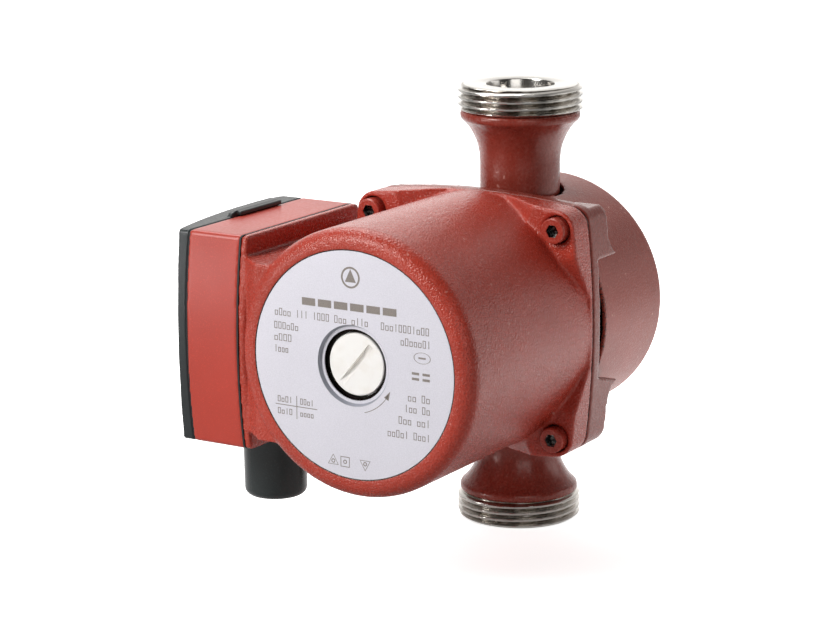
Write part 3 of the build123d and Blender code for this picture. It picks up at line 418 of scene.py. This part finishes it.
def nickel_face():
    """Bright nickel with the fine circular marks of facing on a lathe."""
    made = Surface("nickel_face")
    base = (0.97, 0.945, 0.91)
    rings = made.maths("MULTIPLY", made.radius(("X", "Z")), 9000.0)
    stain = made.noise(180, 4, 0.6)
    tint = made.mix(made.spread(stain, 0.45, 0.75, 0.0, 0.4), base, (0.80, 0.73, 0.64))
    made.tint(tint)
    made.set(Metallic=0.45, Roughness=made.spread(stain, 0.3, 0.7, 0.32, 0.42))
    made.set(Normal=made.bump(made.lines(rings, 2.0), 0.002 * MM, 0.3))
    return made


def laminations():
    """Stacked electrical steel: thin dark lines across the shaft axis."""
    made = Surface("laminations")
    sheets = made.node("ShaderNodeTexWave", wave_type="BANDS", bands_direction="Y")
    made.link(made.coords, sheets.inputs["Vector"])
    sheets.inputs["Scale"].default_value = 320.0
    sheets.inputs["Distortion"].default_value = 0.4
    sheets.inputs["Detail"].default_value = 1.0
    lines = sheets.outputs["Fac"]
    rust = made.noise(220, 4, 0.6)
    tint = made.mix(made.spread(lines, 0.1, 0.5), (0.09, 0.09, 0.10), (0.34, 0.34, 0.36))
    tint = made.mix(made.spread(rust, 0.6, 0.8, 0.0, 0.5), tint, (0.22, 0.13, 0.09))
    made.tint(tint)
    made.set(Metallic=0.85, Roughness=made.spread(rust, 0.3, 0.7, 0.35, 0.5))
    made.set(Normal=made.bump(lines, 0.05 * MM, 0.8))
    return made


def copper_winding():
    """Varnished winding wire wound round the shaft axis, laced and baked."""
    made = Surface("copper_winding")
    radius = made.radius(("X", "Z"))
    sweep_noise = made.maths("MULTIPLY", made.noise(70, 3), 0.004)
    diagonal = made.maths("ADD", radius, made.maths("MULTIPLY", made.axis("Y"), 0.8))
    strand = made.maths("ADD", diagonal, sweep_noise)
    wires = made.maths("SINE", made.maths("MULTIPLY", strand, 9000.0))
    wires = made.spread(wires, -1.0, 1.0)
    # dark copper between the strands is painted shade, bright copper their lit crests
    tint = made.mix(wires, (0.16, 0.045, 0.018), (0.62, 0.24, 0.10))
    made.tint(tint)
    made.set(Metallic=0.6, Roughness=0.34, Normal=made.bump(wires, 0.12 * MM))
    made.set(Coat_Weight=0.5, Coat_Roughness=0.15)
    return made


def lead_insulation():
    """Brown and blue leads, told apart by their place along the shaft axis."""
    made = Surface("lead_insulation")
    height = made.noise(900, 2)
    side = made.maths("GREATER_THAN", made.axis("Y"), LEAD_SPLIT_Y)
    tint = made.mix(side, (0.30, 0.10, 0.035), (0.03, 0.10, 0.42))
    tint = made.mix(made.spread(height, 0.3, 0.8, 0.0, 0.2), tint, (0.4, 0.4, 0.4))
    made.tint(tint)
    made.set(Roughness=0.35, Normal=made.bump(height, 0.01 * MM))
    return made


SLOT_SURFACES = {
    "painted_casing": cast_enamel,
    "painted_housing": housing_enamel,
    "painted_drum": drum_enamel,
    "painted_screws": screw_enamel,
    "stainless_turned": union_steel,
    "stainless_pressed": pressed_steel,
    "nickel_plug": nickel_face,
    "label_foil": label_foil,
    "lamination": laminations,
    "copper_winding": copper_winding,
    "lead_insulation": lead_insulation,
}

# slot: material name, colour, roughness, scale of the tool rings, axis they lie along
TURNED = {
    "stainless_shaft": ("ground_steel", (0.68, 0.68, 0.69), 0.16, 12000, "Y"),
    "zinc_screw": ("zinc_plate", (0.62, 0.61, 0.57), 0.34, 7000, "X"),
    "end_ring_aluminium": ("cast_rings", (0.66, 0.67, 0.68), 0.38, 3000, "Y"),
}

# slot: colour, scale of the grain, its depth, roughness
MOULDED = {
    "box_red": ((0.45, 0.044, 0.026), 2200, 0.008 * MM, 0.34),
    "cover_black": ((0.017, 0.021, 0.022), 1900, 0.05 * MM, 0.40),
    "gland_black": ((0.021, 0.027, 0.027), 1600, 0.005 * MM, 0.21),
    "rubber_black": ((0.012, 0.013, 0.013), 1500, 0.02 * MM, 0.6),
    "ceramic": ((0.78, 0.76, 0.70), 2500, 0.004 * MM, 0.18),
    "carbon": ((0.035, 0.035, 0.038), 2500, 0.01 * MM, 0.35),
    "impeller_plastic": ((0.50, 0.46, 0.36), 1800, 0.02 * MM, 0.45),
    "terminal_plastic": ((0.55, 0.55, 0.51), 2000, 0.01 * MM, 0.4),
    "capacitor_case": ((0.72, 0.69, 0.60), 1500, 0.01 * MM, 0.3),
}

surfaces = {slot: make().material for slot, make in SLOT_SURFACES.items()}
surfaces |= {slot: turned_steel(*look).material for slot, look in TURNED.items()}
surfaces |= {slot: moulding(slot, *look).material for slot, look in MOULDED.items()}
slot_of = {row["node"]: row["material_slot"] for row in frame["record"]["subparts"]}

for node_name, node_object in NODES.items():
    look = surfaces[slot_of[node_name]]
    if not node_object.material_slots:
        node_object.data.materials.append(look)
    for material_slot in node_object.material_slots:
        material_slot.material = look


# --------------------------------------------------------------------------------------
# Mesh helpers
# --------------------------------------------------------------------------------------


def new_piece(name, vertices, faces, body, slot, smooth=True):
    """A closed mesh piece that rides on a CAD body and takes a slot's material."""
    mesh = bpy.data.meshes.new(name)
    mesh.from_pydata([tuple(v) for v in vertices], [], faces)
    mesh.validate()
    fix = bmesh.new()
    fix.from_mesh(mesh)
    bmesh.ops.recalc_face_normals(fix, faces=fix.faces)
    fix.to_mesh(mesh)
    fix.free()
    for polygon in mesh.polygons:
        polygon.use_smooth = smooth
    piece = bpy.data.objects.new(name, mesh)
    bpy.context.scene.collection.objects.link(piece)
    mesh.materials.append(surfaces[slot] if slot in surfaces else slot)
    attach(piece, body)
    return piece


def lathe_grid(rings, steps):
    """Closed loop of rings about Z: each ring is a function of angle giving (r, z)."""
    vertices = []
    faces = []
    for ring in rings:
        for step in range(steps):
            angle = 2 * math.pi * step / steps
            radius, height = ring(angle)
            vertices.append((radius * math.cos(angle), radius * math.sin(angle), height))
    count = len(rings)
    for i in range(count):
        j = (i + 1) % count
        for step in range(steps):
            after = (step + 1) % steps
            faces.append((i * steps + step, i * steps + after, j * steps + after, j * steps + step))
    return vertices, faces


# --------------------------------------------------------------------------------------
# Union ends with real helical threads
# --------------------------------------------------------------------------------------

THREAD_PITCH = 2.309 * MM
THREAD_LENGTH = 9.0 * MM
RUN_OUT = 0.9 * MM
BORE_R = 11.4 * MM
BORE_CHAMFER = 0.6 * MM
SPIGOT_R = 15.0 * MM
FACE_R = 19.6 * MM
FACE_EDGE = 0.25 * MM
FACE_SLOPE = 1.25
THREAD_ROWS = 96
RING_STEPS = 288


def union_end(name, side, replaced):
    """Turned union ring: helical G 1 1/4 thread, chamfered face, bore and spigot."""
    low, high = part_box(replaced)
    face = max(abs(low.z), abs(high.z))
    root_z = min(abs(low.z), abs(high.z))
    crest = high.x
    lip = face - THREAD_LENGTH
    thread_start = face - 0.08 * MM

    def fixed(radius, height):
        return lambda angle: (radius, side * height)

    def threaded(height):
        def ring(angle):
            turn = (height / THREAD_PITCH - side * angle / (2 * math.pi)) % 1.0
            wave = 0.5 + 0.5 * math.cos(2 * math.pi * turn)
            wave = min(1.0, 1.18 * wave ** 0.85)  # flattens the crests
            run_out = min(1.0, max(0.0, (height - lip) / RUN_OUT))
            radius = crest - THREAD_DEPTH * (1 - wave * run_out)
            cone = FACE_R + (face - height) * FACE_SLOPE
            return (min(radius, cone), side * height)

        return ring

    rings = [
        fixed(BORE_R, root_z),
        fixed(BORE_R, face - BORE_CHAMFER),
        fixed(BORE_R + 0.15 * MM, face - 0.2 * MM),
        fixed(BORE_R + BORE_CHAMFER, face),
        fixed(FACE_R - FACE_EDGE, face),
    ]
    for row in range(THREAD_ROWS + 1):
        rings.append(threaded(thread_start - (thread_start - lip) * row / THREAD_ROWS))
    rings += [fixed(SPIGOT_R, lip), fixed(SPIGOT_R, root_z)]
    vertices, faces = lathe_grid(rings, RING_STEPS)
    piece = new_piece(name, vertices, faces, BODY, "stainless_turned")
    sharpen(piece, 40)
    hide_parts(replaced)


def sharpen(piece, degrees):
    """Marks edges sharper than an angle, so that smooth shading breaks there."""
    limit = math.radians(degrees)
    work = bmesh.new()
    work.from_mesh(piece.data)
    for edge in work.edges:
        edge.smooth = not (len(edge.link_faces) == 2 and edge.calc_face_angle(0.0) > limit)
    work.to_mesh(piece.data)
    work.free()


union_end("outlet_union_threaded", 1, "outlet_union")
union_end("inlet_union_threaded", -1, "inlet_union")

# --------------------------------------------------------------------------------------
# Cast, pressed and moulded skins: the CAD solids with softened edges and real grain
# --------------------------------------------------------------------------------------


def grain_texture(name, size):
    texture = bpy.data.textures.new(name, "CLOUDS")
    texture.noise_scale = size
    texture.noise_depth = 2
    texture.noise_basis = "IMPROVED_PERLIN"
    return texture


def soft_skin(node_name, voxel, rounds, grain=None, depth=0.0):
    """Rounds a CAD node's edges as its process leaves them, then lifts a grain on it.

    rounds is how many times the voxel skin is smoothed: more gives a larger edge radius.
    """
    modifiers = NODES[node_name].modifiers
    skin = modifiers.new("skin", "REMESH")
    skin.mode = "VOXEL"
    skin.voxel_size = voxel
    skin.use_smooth_shade = True
    ease = modifiers.new("edge_radius", "SMOOTH")
    ease.factor = 0.5
    ease.iterations = rounds
    if grain:
        lift = modifiers.new("grain", "DISPLACE")
        lift.texture = grain
        lift.texture_coords = "LOCAL"
        lift.mid_level = 0.5
        lift.strength = depth


soft_skin("motor_casing", 0.50 * MM, 9, grain_texture("casting", 1.6 * MM), 0.16 * MM)
soft_skin("pump_housing", 0.55 * MM, 4, grain_texture("housing_skin", 2.4 * MM), 0.12 * MM)
soft_skin("housing_drum", 0.50 * MM, 2, grain_texture("drum_skin", 3.0 * MM), 0.08 * MM)
soft_skin("terminal_box", 0.45 * MM, 1)
soft_skin("terminal_cover", 0.36 * MM, 1)

label_edge = NODES["nameplate"].modifiers.new("rolled_edge", "BEVEL")
label_edge.width = 0.2 * MM
label_edge.segments = 3
label_edge.limit_method = "ANGLE"

# --------------------------------------------------------------------------------------
# Bare steel showing in the flange screws' sockets, where the paint hasn't reached, painted near
# black as shade with a painted glint
# --------------------------------------------------------------------------------------


def socket_shade_steel():
    """Steel painted near black as shade in the socket, with a bright streak as a painted glint."""
    made = Surface("socket_shade_steel")
    glint_streak = made.noise(900, 3, 0.6)
    # near black is painted shade inside the socket, the bright streak a painted glint
    tint = made.mix(made.spread(glint_streak, 0.5, 0.66), (0.03, 0.027, 0.025), (0.50, 0.49, 0.47))
    made.tint(tint)
    made.set(Metallic=1.0, Roughness=made.spread(glint_streak, 0.3, 0.7, 0.22, 0.4))
    made.set(Normal=made.bump(glint_streak, 0.02 * MM))
    return made.material


def screw_sockets():
    """Hexagonal cups of bare metal, one in each socket."""
    across_flats = 4.0 * MM
    wall = 0.2 * MM
    clearance = 0.02 * MM
    depth = 2.7 * MM
    sunk = 0.35 * MM
    floor = 0.3 * MM
    head_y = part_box("flange_screws")[0].y
    mouth = head_y + sunk
    end = head_y + depth
    outer_r = (across_flats / 2 - clearance) / math.cos(math.pi / 6)
    inner_r = (across_flats / 2 - wall) / math.cos(math.pi / 6)
    rings = ((outer_r, mouth), (outer_r, end), (inner_r, mouth), (inner_r, end - floor))
    vertices = []
    faces = []
    for x_side in (-1, 1):
        for z_side in (-1, 1):
            first = len(vertices)
            for radius, y in rings:
                for corner in range(6):
                    angle = math.pi * corner / 3
                    x = x_side * SCREW_OFFSET + radius * math.cos(angle)
                    vertices.append((x, y, z_side * SCREW_OFFSET + radius * math.sin(angle)))
            outer_mouth, outer_end, inner_mouth, inner_end = (first + 6 * ring for ring in range(4))
            for i in range(6):
                j = (i + 1) % 6
                faces.append((outer_mouth + i, outer_mouth + j, outer_end + j, outer_end + i))
                faces.append((inner_mouth + i, inner_end + i, inner_end + j, inner_mouth + j))
                faces.append((outer_mouth + i, inner_mouth + i, inner_mouth + j, outer_mouth + j))
            faces.append([outer_end + i for i in range(6)])
            faces.append([inner_end + i for i in range(6)])
    new_piece("flange_screw_sockets", vertices, faces, BODY, socket_shade_steel(), smooth=False)


screw_sockets()

# --------------------------------------------------------------------------------------
# Nameplate print: generic marks only, no lettering
# --------------------------------------------------------------------------------------


STROKE = 0.24
ARROW_R = 15.0


class Print:
    """Collects flat marks on the nameplate as thin closed solids, in mm from its centre."""

    def __init__(self, face_y):
        self.front = face_y - 0.03 * MM
        self.back = face_y + 0.03 * MM
        self.vertices = []
        self.faces = []
        self.random = np.random.default_rng(12)

    def prism(self, outline):
        """Solid from one closed outline of (x, z) points."""
        start = len(self.vertices)
        count = len(outline)
        for y in (self.front, self.back):
            self.vertices += [(x * MM, y, z * MM) for x, z in outline]
        self.faces.append([start + i for i in range(count)])
        self.faces.append([start + count + i for i in reversed(range(count))])
        for i in range(count):
            j = (i + 1) % count
            self.faces.append([start + j, start + i, start + count + i, start + count + j])

    def strip(self, inner, outer, closed):
        """Solid between two rows of points, one quad at a time."""
        start = len(self.vertices)
        count = len(inner)
        for y in (self.front, self.back):
            for row in (inner, outer):
                self.vertices += [(x * MM, y, z * MM) for x, z in row]
        a, b, c, d = (start + k * count for k in range(4))
        for i in range(count if closed else count - 1):
            j = (i + 1) % count
            self.faces.append([a + i, a + j, b + j, b + i])
            self.faces.append([c + i, d + i, d + j, c + j])
            self.faces.append([a + i, c + i, c + j, a + j])
            self.faces.append([b + i, b + j, d + j, d + i])
        if not closed:
            self.faces.append([a, b, d, c])
            last = count - 1
            self.faces.append([a + last, c + last, d + last, b + last])

    def bar(self, x0, x1, z0, z1):
        self.prism([(x0, z0), (x1, z0), (x1, z1), (x0, z1)])

    def arc(self, x, z, radius, width, start, end, squash=1.0):
        steps = 48
        closed = abs(end - start) >= 360
        count = steps if closed else steps + 1
        rows = []
        for r in (radius - width / 2, radius + width / 2):
            turns = [math.radians(start + (end - start) * i / steps) for i in range(count)]
            rows.append([(x + r * math.cos(t), z + squash * r * math.sin(t)) for t in turns])
        self.strip(rows[0], rows[1], closed)

    def frame(self, x0, x1, z0, z1, stroke):
        """Outline of a box."""
        inner = [(x0 + stroke, z0 + stroke), (x1 - stroke, z0 + stroke)]
        inner += [(x1 - stroke, z1 - stroke), (x0 + stroke, z1 - stroke)]
        self.strip(inner, [(x0, z0), (x1, z0), (x1, z1), (x0, z1)], True)

    def filler(self, x0, x1, z, height, words):
        """Small empty boxes and ticks in groups, which stand for a line of print."""
        cell = 0.66 * height
        count = max(2, round((x1 - x0) / cell))
        cell = (x1 - x0) / count
        breaks = set(np.linspace(0, count, words + 1).astype(int)[1:-1])
        for i in range(count):
            if i in breaks:
                continue
            left = x0 + i * cell
            foot = z - height / 2
            shape = self.random.integers(0, 5)
            if shape == 0:
                self.bar(left + 0.4 * cell, left + 0.4 * cell + STROKE, foot, foot + height)
            else:
                top = foot + height * (1.0 if shape < 3 else 0.68)
                self.frame(left + 0.1 * cell, left + 0.82 * cell, foot, top, STROKE)


def nameplate_print():
    """Pump symbol, blocks in place of a name, tick lines, table, arrow and small marks."""
    label_low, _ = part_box("nameplate")
    marks = Print(label_low.y)
    # pump symbol: a ring with a triangle pointing up, the way the water leaves
    marks.arc(-0.6, 27.9, 3.1, 0.62, 0, 360)
    marks.prism([(-2.6, 26.4), (1.4, 26.4), (-0.6, 30.6)])
    # plain blocks where a name would be
    edges = np.linspace(-18.6, 17.0, 7)
    for left, right in zip(edges[:-1], edges[1:]):
        marks.bar(left, right - 1.0, 17.4, 19.8)
    # lines of print
    marks.filler(-29.0, 5.9, 14.2, 2.4, 5)
    marks.filler(10.2, 27.8, 13.9, 2.4, 1)
    for right, z in ((-19.9, 9.8), (-22.5, 6.0), (-23.8, 2.3)):
        marks.filler(-29.3, right, z, 2.3, 1)
    marks.filler(17.3, 28.3, 9.9, 2.4, 1)
    for left, z, words in ((19.8, -7.4, 2), (18.6, -11.0, 2), (16.4, -15.0, 2), (12.4, -19.5, 2)):
        marks.filler(left, 28.0, z, 2.4, words)
    # oval and two dashes in place of approval marks
    marks.arc(25.1, 5.5, 2.9, 0.22, 0, 360, 0.6)
    marks.bar(23.8, 26.4, 5.2, 5.75)
    for left in (21.4, 25.2):
        marks.bar(left, left + 2.6, -1.7, -0.9)
        marks.bar(left, left + 2.6, 0.0, 0.8)
    # two-column table
    marks.bar(-29.1, -13.4, -15.95, -15.7)
    marks.bar(-21.2, -20.95, -19.9, -12.4)
    for left, right in ((-28.4, -22.6), (-19.9, -14.6)):
        marks.filler(left, right, -14.0, 2.0, 1)
        marks.filler(left, right, -17.9, 2.0, 1)
    # arrow for the turning direction
    marks.arc(0, 0, ARROW_R, 0.22, -74, -31)
    tip = math.radians(-28.5)
    out = Vector((math.cos(tip), math.sin(tip)))
    along = Vector((-out.y, out.x))
    head = out * ARROW_R
    points = (head + along * 0.8, head - along * 2.2 + out * 0.9, head - along * 2.2 - out * 0.9)
    marks.prism([(point.x, point.y) for point in points])
    # three small outline marks at the bottom
    for x, z, corners, radius, start in (
        (-7.6, -31.5, 3, 2.3, 90),
        (-3.2, -31.3, 4, 2.4, 45),
        (4.2, -31.0, 3, 2.3, -90),
    ):
        turns = [math.radians(start + 360 * i / corners) for i in range(corners)]
        inner, outer = (
            [(x + r * math.cos(turn), z + r * math.sin(turn)) for turn in turns]
            for r in (radius - 0.35, radius)
        )
        marks.strip(inner, outer, True)
        marks.arc(x, z, 0.55, 0.3, 0, 360)
    ink = print_ink().material
    new_piece("nameplate_print", marks.vertices, marks.faces, BODY, ink, smooth=False)


nameplate_print()

# --------------------------------------------------------------------------------------
# Studio: floor, lights and camera
# --------------------------------------------------------------------------------------


FLOOR_HALF = 6.0
FLOOR_DROP = 0.2 * MM
FLOOR_GLOW = 0.5
FAR_FLOOR_GLOW = 1.0


def grey(level):
    return (level, level, level)


def studio_floor():
    """White paper to the camera; as light, dim in front of the pump and glowing behind it."""
    mesh = bpy.data.meshes.new("floor")
    level = cad_box[0].z - FLOOR_DROP
    corners = ((-1, -1), (1, -1), (1, 1), (-1, 1))
    mesh.from_pydata(
        [(x * FLOOR_HALF, y * FLOOR_HALF, level) for x, y in corners], [], [(0, 1, 2, 3)]
    )
    floor = bpy.data.objects.new("floor", mesh)
    bpy.context.scene.collection.objects.link(floor)
    made = Surface("floor_paper")
    seen = made.node("ShaderNodeLightPath").outputs["Is Camera Ray"]
    paper = made.mix(made.spread(made.noise(300, 3), 0.3, 0.7), grey(0.90), grey(0.93))
    behind = made.spread(made.axis("Y"), -0.1, 0.15)
    bounce = made.mix(behind, grey(0.44), grey(0.95))
    made.tint(made.mix(seen, bounce, paper))
    made.set(Roughness=0.9, Specular_IOR_Level=0.1)
    distance = made.radius(("X", "Y"))
    far = made.spread(distance, 0.3, 2.2, FLOOR_GLOW, FAR_FLOOR_GLOW)
    glow = made.maths("MULTIPLY", seen, far)
    backlight = made.maths("MULTIPLY", behind, made.spread(distance, 0.2, 0.6, 0.95, 0.25))
    made.set(Emission_Color=(1.0, 1.0, 1.0, 1.0))
    made.set(Emission_Strength=made.maths("ADD", glow, backlight))
    mesh.materials.append(made.material)


# direction, then where its ramp starts and ends, then the strengths at those two places
WORLD_RAMPS = (
    ("X", (-0.25, 0.5, 1.5, 0.3)),
    ("Y", (-0.1, 0.8, 0.08, 1.1)),
    ("Z", (0.05, 0.5, 1.0, 0.65)),
)


def studio_world():
    """White to the camera; as light, a bright backdrop behind and a dim room in front."""
    world = bpy.data.worlds.new("studio")
    world.use_nodes = True
    bpy.context.scene.world = world
    tree = world.node_tree
    tree.nodes.clear()
    output = tree.nodes.new("ShaderNodeOutputWorld")
    seen = tree.nodes.new("ShaderNodeBackground")
    seen.inputs["Color"].default_value = (1.0, 1.0, 1.0, 1.0)
    fill = tree.nodes.new("ShaderNodeBackground")
    fill.inputs["Color"].default_value = (1.0, 0.985, 0.965, 1.0)
    direction = tree.nodes.new("ShaderNodeSeparateXYZ")
    coords = tree.nodes.new("ShaderNodeTexCoord")
    tree.links.new(coords.outputs["Generated"], direction.inputs["Vector"])
    strength = None
    for axis, limits in WORLD_RAMPS:
        ramp = tree.nodes.new("ShaderNodeMapRange")
        tree.links.new(direction.outputs[axis], ramp.inputs["Value"])
        for socket, value in zip(ramp.inputs[1:5], limits):
            socket.default_value = value
        product = tree.nodes.new("ShaderNodeMath")
        product.operation = "MULTIPLY"
        product.inputs[1].default_value = 1.0
        tree.links.new(ramp.outputs["Result"], product.inputs[0])
        if strength:
            tree.links.new(strength, product.inputs[1])
        strength = product.outputs[0]
    tree.links.new(strength, fill.inputs["Strength"])
    path = tree.nodes.new("ShaderNodeLightPath")
    mix = tree.nodes.new("ShaderNodeMixShader")
    tree.links.new(path.outputs["Is Camera Ray"], mix.inputs["Fac"])
    tree.links.new(fill.outputs[0], mix.inputs[1])
    tree.links.new(seen.outputs[0], mix.inputs[2])
    tree.links.new(mix.outputs[0], output.inputs["Surface"])


def softbox(name, location, target, width, height, power):
    """Rectangular lamp that faces a target, sized in metres, with its power in watts."""
    data = bpy.data.lights.new(name, "AREA")
    data.shape = "RECTANGLE"
    data.size = width
    data.size_y = height
    data.energy = power
    lamp = bpy.data.objects.new(name, data)
    lamp.location = location
    lamp.rotation_mode = "QUATERNION"
    direction = Vector(target) - Vector(location)
    lamp.rotation_quaternion = direction.to_track_quat("-Z", "Y")
    bpy.context.scene.collection.objects.link(lamp)


def studio_lights():
    softbox("overhead", (-0.45, 0.25, 0.85), (0, -0.03, 0), 0.5, 0.5, 5.0)
    softbox("front_left", (-0.62, -1.10, 0.75), (-0.02, -0.05, 0), 0.5, 0.6, 16.6)
    softbox("low_left", (-0.95, -1.10, -0.02), (0, -0.1, 0), 0.4, 0.12, 2.4)
    softbox("front_right", (0.95, -0.95, 0.36), (0, -0.05, 0), 0.8, 0.5, 2.5)
    softbox("back_right", (0.95, 0.75, 0.2), (0.02, 0.0, 0), 0.9, 0.4, 1.4)


# the photo's view, fitted to points picked on it: offsets are along the camera's own axes
CAMERA_AZIMUTH = 31.36
CAMERA_ELEVATION = 12.89
CAMERA_ROLL = -0.26
CAMERA_BACK = 0.94049
CAMERA_RIGHT = -0.03569
CAMERA_UP = -0.00291
SENSOR_WIDTH = 36.0
FOCAL_LENGTH = 119.475


def studio_camera():
    azimuth = math.radians(CAMERA_AZIMUTH)
    elevation = math.radians(CAMERA_ELEVATION)
    roll = math.radians(CAMERA_ROLL)
    back = Vector((
        math.sin(azimuth) * math.cos(elevation),
        -math.cos(azimuth) * math.cos(elevation),
        math.sin(elevation),
    ))
    right = Vector((math.cos(azimuth), math.sin(azimuth), 0.0))
    up = back.cross(right)
    side = math.cos(roll) * right + math.sin(roll) * up
    top = -math.sin(roll) * right + math.cos(roll) * up
    place = back * CAMERA_BACK + right * CAMERA_RIGHT + up * CAMERA_UP
    data = bpy.data.cameras.new("camera")
    data.sensor_width = SENSOR_WIDTH
    data.lens = FOCAL_LENGTH
    data.clip_start = 0.05
    data.clip_end = 20.0
    camera = bpy.data.objects.new("camera", data)
    camera.matrix_world = Matrix((
        (side.x, top.x, back.x, place.x),
        (side.y, top.y, back.y, place.y),
        (side.z, top.z, back.z, place.z),
        (0.0, 0.0, 0.0, 1.0),
    ))
    bpy.context.scene.collection.objects.link(camera)
    bpy.context.scene.camera = camera


studio_floor()
studio_world()
studio_lights()
studio_camera()
bpy.context.scene.view_settings.view_transform = "Standard"
